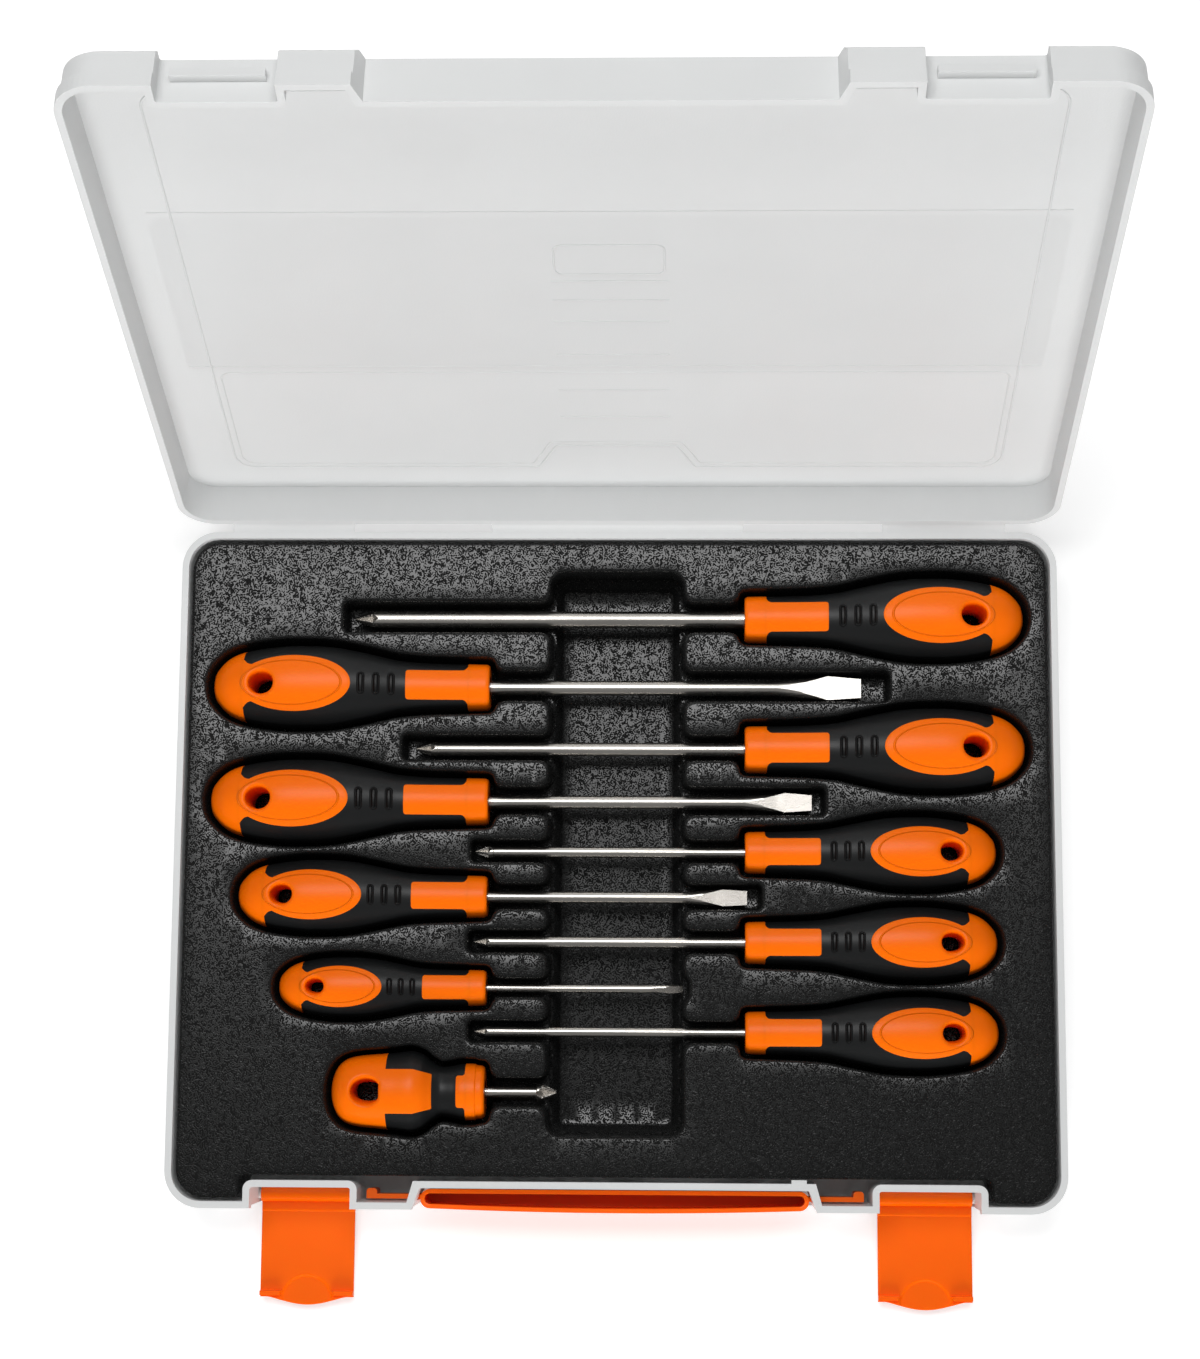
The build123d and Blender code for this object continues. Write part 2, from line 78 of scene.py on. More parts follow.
def tidyMesh(mesh, merge, sharp):
    work = bmesh.new()
    work.from_mesh(mesh)
    bmesh.ops.remove_doubles(work, verts=work.verts, dist=merge)
    work.to_mesh(mesh)
    work.free()
    mesh.polygons.foreach_set("use_smooth", [True] * len(mesh.polygons))
    mesh.set_sharp_from_angle(angle=math.radians(sharp))


def addPiece(name, mesh, body, material, replaces=()):
    piece = bpy.data.objects.new(name, mesh)
    bpy.context.scene.collection.objects.link(piece)
    mesh.materials.clear()
    mesh.materials.append(material)
    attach(piece, body)
    if replaces:
        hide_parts(*replaces)
    return piece


def addNode(tree, kind, inputs=None, **settings):
    # a node with its settings; an input is a value or another node's output
    node = tree.nodes.new(kind)
    for key, value in settings.items():
        setattr(node, key, value)
    for key, value in (inputs or {}).items():
        if isinstance(value, bpy.types.NodeSocket):
            tree.links.new(value, node.inputs[key])
        else:
            node.inputs[key].default_value = value
    return node


def maths(tree, operation, *values, clamp=False):
    node = addNode(tree, "ShaderNodeMath", dict(enumerate(values)), operation=operation)
    node.use_clamp = clamp
    return node.outputs[0]


def ramp(tree, factor, stops, interpolation="LINEAR"):
    node = addNode(tree, "ShaderNodeValToRGB", {0: factor})
    node.color_ramp.interpolation = interpolation
    while len(node.color_ramp.elements) < len(stops):
        node.color_ramp.elements.new(0.5)
    for element, (place, colour) in zip(node.color_ramp.elements, stops):
        element.position = place
        element.color = (*colour, 1.0) if len(colour) == 3 else colour
    return node.outputs[0]


def newGroup(name, inputs, outputs):
    group = bpy.data.node_groups.new(name, "ShaderNodeTree")
    for label, kind, value in inputs:
        socket = group.interface.new_socket(name=label, in_out="INPUT", socket_type=kind)
        if value is not None:
            socket.default_value = value
    for label, kind in outputs:
        group.interface.new_socket(name=label, in_out="OUTPUT", socket_type=kind)
    return group, group.nodes.new("NodeGroupInput"), group.nodes.new("NodeGroupOutput")


def useGroup(tree, group, inputs):
    node = tree.nodes.new("ShaderNodeGroup")
    node.node_tree = group
    for key, value in inputs.items():
        if isinstance(value, bpy.types.NodeSocket):
            tree.links.new(value, node.inputs[key])
        else:
            node.inputs[key].default_value = value
    return node


def newMaterial(name):
    material = bpy.data.materials.new(name)
    material.use_nodes = True
    tree = material.node_tree
    shader = tree.nodes["Principled BSDF"]
    place = addNode(tree, "ShaderNodeTexCoord").outputs["Object"]
    return material, tree, shader, place


# worm-like grain: short waves of one width in all directions, with flattened tops
def buildGrainGroup():
    group, given, wanted = newGroup(
        "leatherGrain",
        [("Place", "NodeSocketVector", None), ("Scale", "NodeSocketFloat", 600.0),
         ("Waves", "NodeSocketFloat", 2.0)],
        [("Height", "NodeSocketFloat")],
    )
    worms = addNode(group, "ShaderNodeTexGabor", {
        "Vector": given.outputs["Place"], "Scale": given.outputs["Scale"],
        "Frequency": given.outputs["Waves"], "Anisotropy": 0.0}, gabor_type="3D")
    height = addNode(group, "ShaderNodeMapRange", {
        "Value": worms.outputs["Value"], "From Min": 0.42, "From Max": 0.52},
        interpolation_type="SMOOTHSTEP").outputs[0]
    group.links.new(height, wanted.inputs["Height"])
    return group


# fine moulded skin with faint clouding, for the plain plastics
def buildSkinGroup():
    group, given, wanted = newGroup(
        "mouldedSkin",
        [("Place", "NodeSocketVector", None), ("Colour", "NodeSocketColor", (1, 1, 1, 1)),
         ("Fine", "NodeSocketFloat", 3000.0), ("Cloud", "NodeSocketFloat", 0.06),
         ("Rough", "NodeSocketFloat", 0.4), ("Rough Spread", "NodeSocketFloat", 0.08)],
        [("Colour", "NodeSocketColor"), ("Roughness", "NodeSocketFloat"), ("Height", "NodeSocketFloat")],
    )
    fine = addNode(group, "ShaderNodeTexNoise", {
        "Vector": given.outputs["Place"], "Scale": given.outputs["Fine"], "Detail": 2.0})
    broad = addNode(group, "ShaderNodeTexNoise", {
        "Vector": given.outputs["Place"], "Scale": 26.0, "Detail": 3.0})
    swing = maths(group, "MULTIPLY", maths(group, "SUBTRACT", broad.outputs["Fac"], 0.5),
                  given.outputs["Cloud"])
    shade = maths(group, "ADD", 1.0, swing)
    tint = addNode(group, "ShaderNodeVectorMath", {0: given.outputs["Colour"]}, operation="SCALE")
    group.links.new(shade, tint.inputs["Scale"])
    group.links.new(tint.outputs[0], wanted.inputs["Colour"])
    spread = maths(group, "MULTIPLY", maths(group, "SUBTRACT", broad.outputs["Fac"], 0.5),
                   given.outputs["Rough Spread"])
    group.links.new(maths(group, "ADD", given.outputs["Rough"], spread), wanted.inputs["Roughness"])
    group.links.new(fine.outputs["Fac"], wanted.inputs["Height"])
    return group


grainGroup = buildGrainGroup()
skinGroup = buildSkinGroup()


def trayLeather():
    look = {"groove": (0.0008, 0.0008, 0.0008), "top": (0.0046, 0.0050, 0.0049), "grain": 620.0,
            "waves": 2.0, "depth": 0.00008, "roughTop": 0.23, "roughGroove": 0.9, "gloss": 0.42}
    material, tree, shader, place = newMaterial("trayLeather")
    grain = useGroup(tree, grainGroup, {"Place": place, "Scale": look["grain"], "Waves": look["waves"]})
    height = grain.outputs["Height"]
    # colour follows the grain's height: the grooves are painted darker than the tops, painted shade in the grooves
    colour = addNode(tree, "ShaderNodeMix", {
        0: height, 6: (*look["groove"], 1), 7: (*look["top"], 1)}, data_type="RGBA")
    tree.links.new(colour.outputs[2], shader.inputs["Base Color"])
    rough = addNode(tree, "ShaderNodeMapRange", {
        "Value": height, "To Min": look["roughGroove"], "To Max": look["roughTop"]})
    tree.links.new(rough.outputs[0], shader.inputs["Roughness"])
    bump = addNode(tree, "ShaderNodeBump", {"Height": height, "Distance": look["depth"], "Strength": 1.0})
    tree.links.new(bump.outputs[0], shader.inputs["Normal"])
    shader.inputs["Specular IOR Level"].default_value = look["gloss"]
    return material


def softGrip():
    look = {"colour": (0.0085, 0.0090, 0.0093, 1), "roughness": 0.40, "skinDepth": 0.00003, "gloss": 0.30,
            "slotDepth": 0.0014, "pitch": 5.75, "half": 3.9, "width": 1.0, "rim": 0.6, "slotPaintedShade": 0.1}
    material, tree, shader, place = newMaterial("softGrip")
    skin = useGroup(tree, skinGroup, {"Place": place, "Colour": look["colour"], "Fine": 2600.0,
                                      "Cloud": 0.25, "Rough": look["roughness"], "Rough Spread": 0.16})
    tree.links.new(skin.outputs["Roughness"], shader.inputs["Roughness"])
    # three short slots with a raised rim: distance to the nearest of three upright strokes
    plan = addNode(tree, "ShaderNodeUVMap", uv_map="plan").outputs[0]
    split = addNode(tree, "ShaderNodeSeparateXYZ", {0: plan})
    nearest = maths(tree, "MINIMUM", maths(tree, "MAXIMUM", maths(tree, "ROUND", split.outputs[0]), -1.0), 1.0)
    across = maths(tree, "MULTIPLY", maths(tree, "SUBTRACT", split.outputs[0], nearest), look["pitch"])
    upright = maths(tree, "MAXIMUM", maths(
        tree, "SUBTRACT", maths(tree, "MULTIPLY", maths(tree, "ABSOLUTE", split.outputs[1]), look["half"]),
        look["half"] - look["width"]), 0.0)
    gap = maths(tree, "SQRT", maths(tree, "ADD", maths(tree, "MULTIPLY", across, across),
                                    maths(tree, "MULTIPLY", upright, upright)))
    edge = addNode(tree, "ShaderNodeMapRange", {
        "Value": gap, "From Min": look["width"] * 0.35, "From Max": look["width"]},
        interpolation_type="SMOOTHSTEP").outputs[0]
    fade = addNode(tree, "ShaderNodeMapRange", {
        "Value": gap, "From Min": look["width"] + look["rim"], "From Max": look["width"]},
        interpolation_type="SMOOTHSTEP").outputs[0]
    height = maths(tree, "ADD", edge, maths(tree, "MULTIPLY", maths(tree, "MULTIPLY", fade, 0.5), edge))
    # inside the slots the colour falls to a tenth: painted shade in the slots
    shade = addNode(tree, "ShaderNodeVectorMath", {0: skin.outputs["Colour"]}, operation="SCALE")
    tree.links.new(maths(tree, "ADD", maths(tree, "MULTIPLY", edge, 1.0 - look["slotPaintedShade"]), look["slotPaintedShade"]),
                   shade.inputs["Scale"])
    tree.links.new(shade.outputs[0], shader.inputs["Base Color"])
    slots = addNode(tree, "ShaderNodeBump", {"Height": height, "Distance": look["slotDepth"]})
    fine = addNode(tree, "ShaderNodeBump", {
        "Height": skin.outputs["Height"], "Distance": look["skinDepth"], "Normal": slots.outputs[0]})
    tree.links.new(fine.outputs[0], shader.inputs["Normal"])
    shader.inputs["Specular IOR Level"].default_value = look["gloss"]
    return material


def orangeCore():
    look = {"colour": (0.98, 0.160, 0.0, 1), "roughness": 0.36, "skinDepth": 0.00002, "gloss": 0.18,
            "lineDepth": 0.0005, "lineWidth": 0.030}
    material, tree, shader, place = newMaterial("orangeCore")
    skin = useGroup(tree, skinGroup, {"Place": place, "Colour": look["colour"], "Fine": 1800.0,
                                      "Cloud": 0.10, "Rough": look["roughness"], "Rough Spread": 0.12})
    tree.links.new(skin.outputs["Roughness"], shader.inputs["Roughness"])
    # a fine oval line: the plan map is scaled so that the line lies one unit from its middle
    plan = addNode(tree, "ShaderNodeUVMap", uv_map="plan").outputs[0]
    reach = addNode(tree, "ShaderNodeVectorMath", {0: plan}, operation="LENGTH").outputs["Value"]
    off = maths(tree, "ABSOLUTE", maths(tree, "SUBTRACT", reach, 1.0))
    line = addNode(tree, "ShaderNodeMapRange", {
        "Value": off, "From Min": 0.0, "From Max": look["lineWidth"]},
        interpolation_type="SMOOTHSTEP").outputs[0]
    inside = addNode(tree, "ShaderNodeMapRange", {
        "Value": reach, "From Min": 1.0 + look["lineWidth"], "From Max": 1.0 - look["lineWidth"]},
        interpolation_type="SMOOTHSTEP").outputs[0]
    height = maths(tree, "SUBTRACT", maths(tree, "SUBTRACT", 1.0, line), maths(tree, "MULTIPLY", inside, 0.5))
    # the colour is a tenth brighter on the line: a painted highlight along the raised line
    shade = addNode(tree, "ShaderNodeVectorMath", {0: skin.outputs["Colour"]}, operation="SCALE")
    tree.links.new(maths(tree, "ADD", maths(tree, "MULTIPLY", line, -0.1), 1.1), shade.inputs["Scale"])
    tree.links.new(shade.outputs[0], shader.inputs["Base Color"])
    groove = addNode(tree, "ShaderNodeBump", {"Height": height, "Distance": look["lineDepth"]})
    fine = addNode(tree, "ShaderNodeBump", {
        "Height": skin.outputs["Height"], "Distance": look["skinDepth"], "Normal": groove.outputs[0]})
    tree.links.new(fine.outputs[0], shader.inputs["Normal"])
    shader.inputs["Specular IOR Level"].default_value = look["gloss"]
    shader.inputs["Subsurface Weight"].default_value = 0.12
    shader.inputs["Subsurface Radius"].default_value = (1.0, 0.25, 0.05)
    shader.inputs["Subsurface Scale"].default_value = 0.002
    return material


def plainPlastic(name, look):
    # a moulded plastic: its colour with faint clouds, a fine skin and a little light inside it
    material, tree, shader, place = newMaterial(name)
    skin = useGroup(tree, skinGroup, {"Place": place, "Colour": (*look["colour"], 1), "Fine": look["fine"],
                                      "Cloud": look["cloud"], "Rough": look["roughness"],
                                      "Rough Spread": look["spread"]})
    tree.links.new(skin.outputs["Colour"], shader.inputs["Base Color"])
    tree.links.new(skin.outputs["Roughness"], shader.inputs["Roughness"])
    fine = addNode(tree, "ShaderNodeBump", {"Height": skin.outputs["Height"], "Distance": look["skinDepth"]})
    tree.links.new(fine.outputs[0], shader.inputs["Normal"])
    shader.inputs["Specular IOR Level"].default_value = look["gloss"]
    shader.inputs["Alpha"].default_value = look["alpha"]
    shader.inputs["Subsurface Weight"].default_value = look["glow"]
    shader.inputs["Subsurface Radius"].default_value = look["glowTint"]
    shader.inputs["Subsurface Scale"].default_value = look["glowReach"]
    return material


shellLook = {"colour": (0.98, 0.128, 0.0), "fine": 2200.0, "cloud": 0.10, "roughness": 0.34, "spread": 0.10,
             "skinDepth": 0.00002, "gloss": 0.18, "alpha": 1.0, "glow": 0.25, "glowTint": (1.0, 0.25, 0.04),
             "glowReach": 0.003}
frostLook = {"colour": (0.76, 0.77, 0.77), "fine": 1500.0, "cloud": 0.05, "roughness": 0.34, "spread": 0.14,
             "skinDepth": 0.00005, "gloss": 0.2, "alpha": 0.88, "glow": 0.0, "glowTint": (1.0, 1.0, 1.0),
             "glowReach": 0.006}
windowLook = dict(frostLook, alpha=0.84)
cardLook = {"colour": (0.72, 0.69, 0.70), "fine": 900.0, "cloud": 0.05, "roughness": 0.5, "spread": 0.1,
            "skinDepth": 0.00001, "gloss": 0.3, "alpha": 1.0, "glow": 0.0, "glowTint": (1.0, 1.0, 1.0),
            "glowReach": 0.001}


def brightSteel():
    look = {"colour": (0.60, 0.57, 0.53, 1), "roughness": 0.26, "brush": 0.00001}
    material, tree, shader, place = newMaterial("brightSteel")
    drawn = addNode(tree, "ShaderNodeMapping", {"Vector": place, "Scale": (900.0, 60.0, 60.0)})
    brush = addNode(tree, "ShaderNodeTexNoise", {"Vector": drawn.outputs[0], "Scale": 30.0, "Detail": 2.0})
    skin = useGroup(tree, skinGroup, {"Place": place, "Colour": look["colour"], "Fine": 5000.0,
                                      "Cloud": 0.2, "Rough": look["roughness"], "Rough Spread": 0.16})
    tree.links.new(skin.outputs["Colour"], shader.inputs["Base Color"])
    tree.links.new(skin.outputs["Roughness"], shader.inputs["Roughness"])
    fine = addNode(tree, "ShaderNodeBump", {"Height": brush.outputs["Fac"], "Distance": look["brush"]})
    tree.links.new(fine.outputs[0], shader.inputs["Normal"])
    shader.inputs["Metallic"].default_value = 1.0
    return material


leather = trayLeather()
gripRubber = softGrip()
coreOrange = orangeCore()
steel = brightSteel()
shellOrange = plainPlastic("orangeShell", shellLook)
frosted = plainPlastic("frostedShell", frostLook)
frostedLid = plainPlastic("frostedLid", windowLook)
cardStock = plainPlastic("cardStock", cardLook)
report("materials made")


# distance from the collar and radius, with the places of the orange inlays
handles = {
    "large": {
        "profile": [(0, 8.6), (0.5, 8.85), (11, 9.1), (22, 9.4), (34, 10.3), (45, 12.6), (52, 14.1),
                    (60.5, 15.6), (68, 16.15), (76, 16.2), (87, 15.3), (95.6, 13.6), (101, 11.4),
                    (105, 8.0), (107.2, 4.6), (108, 0)],
        "collar": 8.4, "stripEnd": 32.2, "stripHalf": 5.6, "stripRound": 2.2,
        "tip": 53.4, "middle": 75.2, "along": 21.8, "across": 10.8, "wingStart": 91.6,
        "wingEnd": 95.3, "hole": (88.0, 4.9), "lineMiddle": 76.2, "lineAlong": 19.4,
        "lineAcross": 8.65, "slots": 43.6, "slotPitch": 5.75, "slotHalf": 3.9,
    },
    "medium": {
        "profile": [(0, 7.6), (0.5, 7.8), (10, 8.1), (20, 8.4), (30, 9.1), (40, 11.0), (46.5, 12.3),
                    (54, 13.5), (61, 13.95), (68, 14.0), (77.5, 13.2), (85.3, 11.8), (90, 9.9),
                    (93.5, 7.0), (95.6, 3.9), (96.3, 0)],
        "collar": 7.6, "stripEnd": 28.7, "stripHalf": 5.0, "stripRound": 2.0,
        "tip": 47.7, "middle": 67.2, "along": 19.5, "across": 9.4, "wingStart": 81.8,
        "wingEnd": 85.2, "hole": (78.4, 4.3), "lineMiddle": 68.0, "lineAlong": 17.3,
        "lineAcross": 7.5, "slots": 39.0, "slotPitch": 5.15, "slotHalf": 3.5,
    },
    "small": {
        "profile": [(0, 6.4), (0.5, 6.6), (8, 6.8), (17, 7.0), (25, 7.5), (33, 9.0), (38.5, 10.1),
                    (45, 11.1), (50, 11.45), (56, 11.5), (64, 10.9), (70.5, 9.6), (74.5, 8.0),
                    (77.5, 5.7), (79.2, 3.2), (79.7, 0)],
        "collar": 6.6, "stripEnd": 24.0, "stripHalf": 4.4, "stripRound": 1.7,
        "tip": 39.5, "middle": 55.6, "along": 16.1, "across": 7.7, "wingStart": 67.6,
        "wingEnd": 70.4, "hole": (65.0, 3.5), "lineMiddle": 56.3, "lineAlong": 14.3,
        "lineAcross": 6.2, "slots": 32.2, "slotPitch": 4.3, "slotHalf": 2.9,
    },
    "stubby": {
        "profile": [(0, 9.2), (0.6, 9.8), (3.2, 10.1), (3.6, 10.45), (8, 10.6), (12, 9.9), (16, 9.4),
                    (20, 11.2), (24, 14.2), (28, 15.3), (34, 14.6), (40, 14.0), (47, 13.4),
                    (52, 12.3), (55.5, 9.9), (57.5, 6.4), (58.4, 3.0), (58.6, 0)],
        "collar": 7.2, "stripEnd": 10.4, "stripHalf": 5.9, "stripRound": 1.0,
        "tip": 19.9, "panelTip": 6.4, "panelFull": 26.7, "across": 8.2,
        "wingEnd": 37.2, "hole": (44.6, 5.7), "holeFlat": 5.0, "lineMiddle": 30.0, "lineAlong": 400.0,
        "lineAcross": 400.0, "slots": -400.0, "slotPitch": 5.0, "slotHalf": 3.0,
    },
}

# row, side of the handle, row's place, handle, blade length, shaft, tip width (0 for a cross tip),
# slot width, room beyond the tip, roll of the blade in degrees, widest part of the tip to the shaft
drivers = [
    (1, 1, 96.8, "large", 152.4, 6.6, 0.0, 12.0, 3.8, 45, 1.0),
    (2, -1, 69.8, "large", 144.1, 5.8, 7.4, 12.0, 10.7, 0, 9.3),
    (3, 1, 45.7, "large", 127.7, 5.2, 0.0, 10.0, 4.8, 35, 1.05),
    (4, -1, 25.1, "large", 124.8, 5.2, 6.0, 11.0, 5.2, 0, 7.5),
    (5, 1, 5.7, "medium", 103.9, 4.2, 0.0, 9.0, 1.6, 20, 1.1),
    (6, -1, -11.7, "medium", 99.8, 4.6, 5.4, 10.0, 5.8, 0, 6.4),
    (7, 1, -28.9, "medium", 104.2, 4.5, 0.0, 9.0, 2.0, 45, 1.0),
    (8, -1, -46.6, "small", 75.2, 3.1, 2.8, 7.5, 2.5, -38, 3.2),
    (9, 1, -63.1, "medium", 103.5, 3.8, 0.0, 8.5, 2.2, 45, 1.0),
    (10, -1, -86.0, "stubby", 27.1, 4.4, 0.0, 11.0, 4.0, 38, 1.5),
]
placing = {"axisHeight": 24.0, "collar": 49.5}


def smoothPath(stations, count=240):
    # cubic curve through the stations with slopes that never overshoot, by distance along them
    p = np.array(stations, float)
    step = np.linalg.norm(np.diff(p, axis=0), axis=1)
    s = np.concatenate([[0], np.cumsum(np.sqrt(step))])
    h = np.diff(s)[:, None]
    d = np.diff(p, axis=0) / h
    m = np.zeros_like(p)
    same = d[:-1] * d[1:] > 0
    with np.errstate(divide="ignore", invalid="ignore"):
        inner = 2 * d[:-1] * d[1:] / (d[:-1] + d[1:])
    m[1:-1] = np.where(same, inner, 0)
    m[0], m[-1] = d[0], d[-1] * (0, 1.4)
    t = np.linspace(0, s[-1], count)
    k = np.clip(np.searchsorted(s, t, side="right") - 1, 0, len(s) - 2)
    u = ((t - s[k]) / (s[k + 1] - s[k]))[:, None]
    hk = (s[k + 1] - s[k])[:, None]
    return ((2 * u**3 - 3 * u**2 + 1) * p[k] + (u**3 - 2 * u**2 + u) * hk * m[k]
            + (3 * u**2 - 2 * u**3) * p[k + 1] + (u**3 - u**2) * hk * m[k + 1])


def ringSurface(x, radius, turns, lift):
    # a surface of revolution: every (x, radius) carried round the handle's axis
    angle = np.linspace(0, 2 * pi, turns, endpoint=False)
    r = np.maximum(radius + lift, 0)[:, None]
    points = np.stack([np.broadcast_to(x[:, None], (len(x), turns)), r * np.sin(angle), r * np.cos(angle)], -1)
    return points.reshape(-1, 3), gridFaces(len(x), turns, closed=True)[:, ::-1]


def rayReach(inside, centre, angle):
    # how far each ray stays inside a zone: the first step outside, then the gap halved ten times
    steps = np.linspace(0, 60, 500)
    c, s = np.cos(angle), np.sin(angle)
    first = np.argmax(~inside(centre + steps * c[:, None], steps * s[:, None]), axis=1)
    low, high = steps[first - 1], steps[first]
    for _ in range(10):
        middle = (low + high) / 2
        held = inside(centre + middle * c, middle * s)
        low, high = np.where(held, middle, low), np.where(held, high, middle)
    return low


def evenRays(inside, centre, count):
    # angles whose rays meet the zone's edge at even steps along that edge
    angle = np.linspace(0, 2 * pi, 1081)
    reach = rayReach(inside, centre, angle)
    x, s = reach * np.cos(angle), reach * np.sin(angle)
    along = np.concatenate([[0], np.cumsum(np.hypot(np.diff(x), np.diff(s)) + 0.002)])
    return np.interp(np.linspace(0, along[-1], count, endpoint=False), along, angle)


def fanPatch(radiusAt, inside, centre, innerReach, rays, rings, lift, seamless=False):
    # a patch on the upper half of the handle, laid out by rays from a centre to its own edge;
    # (x, s) is the distance along and round the handle, and the edge rolls down into the grip
    angle = evenRays(inside, centre, rays)
    edge = rayReach(inside, centre, angle)
    inner = innerReach(angle)
    share = np.linspace(0, 1, rings) ** 0.85
    if inner.max() > 0:
        lip = np.array([(0.0, -5.0), (0.0, -1.6), (0.1, -0.9), (0.35, -0.38), (0.8, -0.08)])
        rho = np.concatenate([inner[:, None] + lip[:, 0], inner[:, None] + 1.4
                              + (edge - inner - 1.4)[:, None] * share], 1)
        depth = np.concatenate([lip[:, 1], np.zeros(rings)])
    else:
        rho, depth = edge[:, None] * share, np.zeros(rings)
    x = centre + rho * np.cos(angle)[:, None]
    s = rho * np.sin(angle)[:, None]
    bx, bs = x[:, -1], s[:, -1]
    tx, ts = np.roll(bx, -1) - np.roll(bx, 1), np.roll(bs, -1) - np.roll(bs, 1)
    size = np.hypot(tx, ts) + 1e-9
    roll = np.array([(0.09, -0.03), (0.17, -0.11), (0.2, -0.25), (0.2, -1.0)])
    x = np.concatenate([x, bx[:, None] + (ts / size)[:, None] * roll[:, 0]], 1)
    s = np.concatenate([s, bs[:, None] - (tx / size)[:, None] * roll[:, 0]], 1)
    r = radiusAt(x)
    turn = s / np.maximum(r, 1e-6)
    drop = np.broadcast_to(np.concatenate([depth, roll[:, 1]]), x.shape).copy()
    if seamless:
        # where the edge is the line halfway round, the last rings stay on the surface
        half = np.abs(turn) > pi / 2 - 0.03
        half[:, : -len(roll)] = False
        turn = np.clip(turn, -pi / 2, pi / 2)
        drop[half] = 0.0
    rr = np.maximum(r + lift + drop, 0.0)
    points = np.stack([x, rr * np.sin(turn), rr * np.cos(turn)], -1)
    if inner.max() > 0:
        points[:, 0, 2] = 0.0  # the hole's wall runs down to the middle of the handle
    rayCount, ringCount = points.shape[:2]
    i = np.arange(rayCount)[:, None]
    k = (i + 1) % rayCount
    j = np.arange(ringCount - 1)[None]
    quads = [i * ringCount + j, i * ringCount + j + 1, k * ringCount + j + 1, k * ringCount + j]
    faces = np.stack([np.broadcast_to(q, (rayCount, ringCount - 1)) for q in quads], -1).reshape(-1, 4)
    points = points.reshape(-1, 3)
    return [(points, faces), (points * (1, 1, -1), faces[:, ::-1])]


def placeDriver(points, side, row):
    return points * (side, side, 1) + (side * placing["collar"], row, placing["axisHeight"])


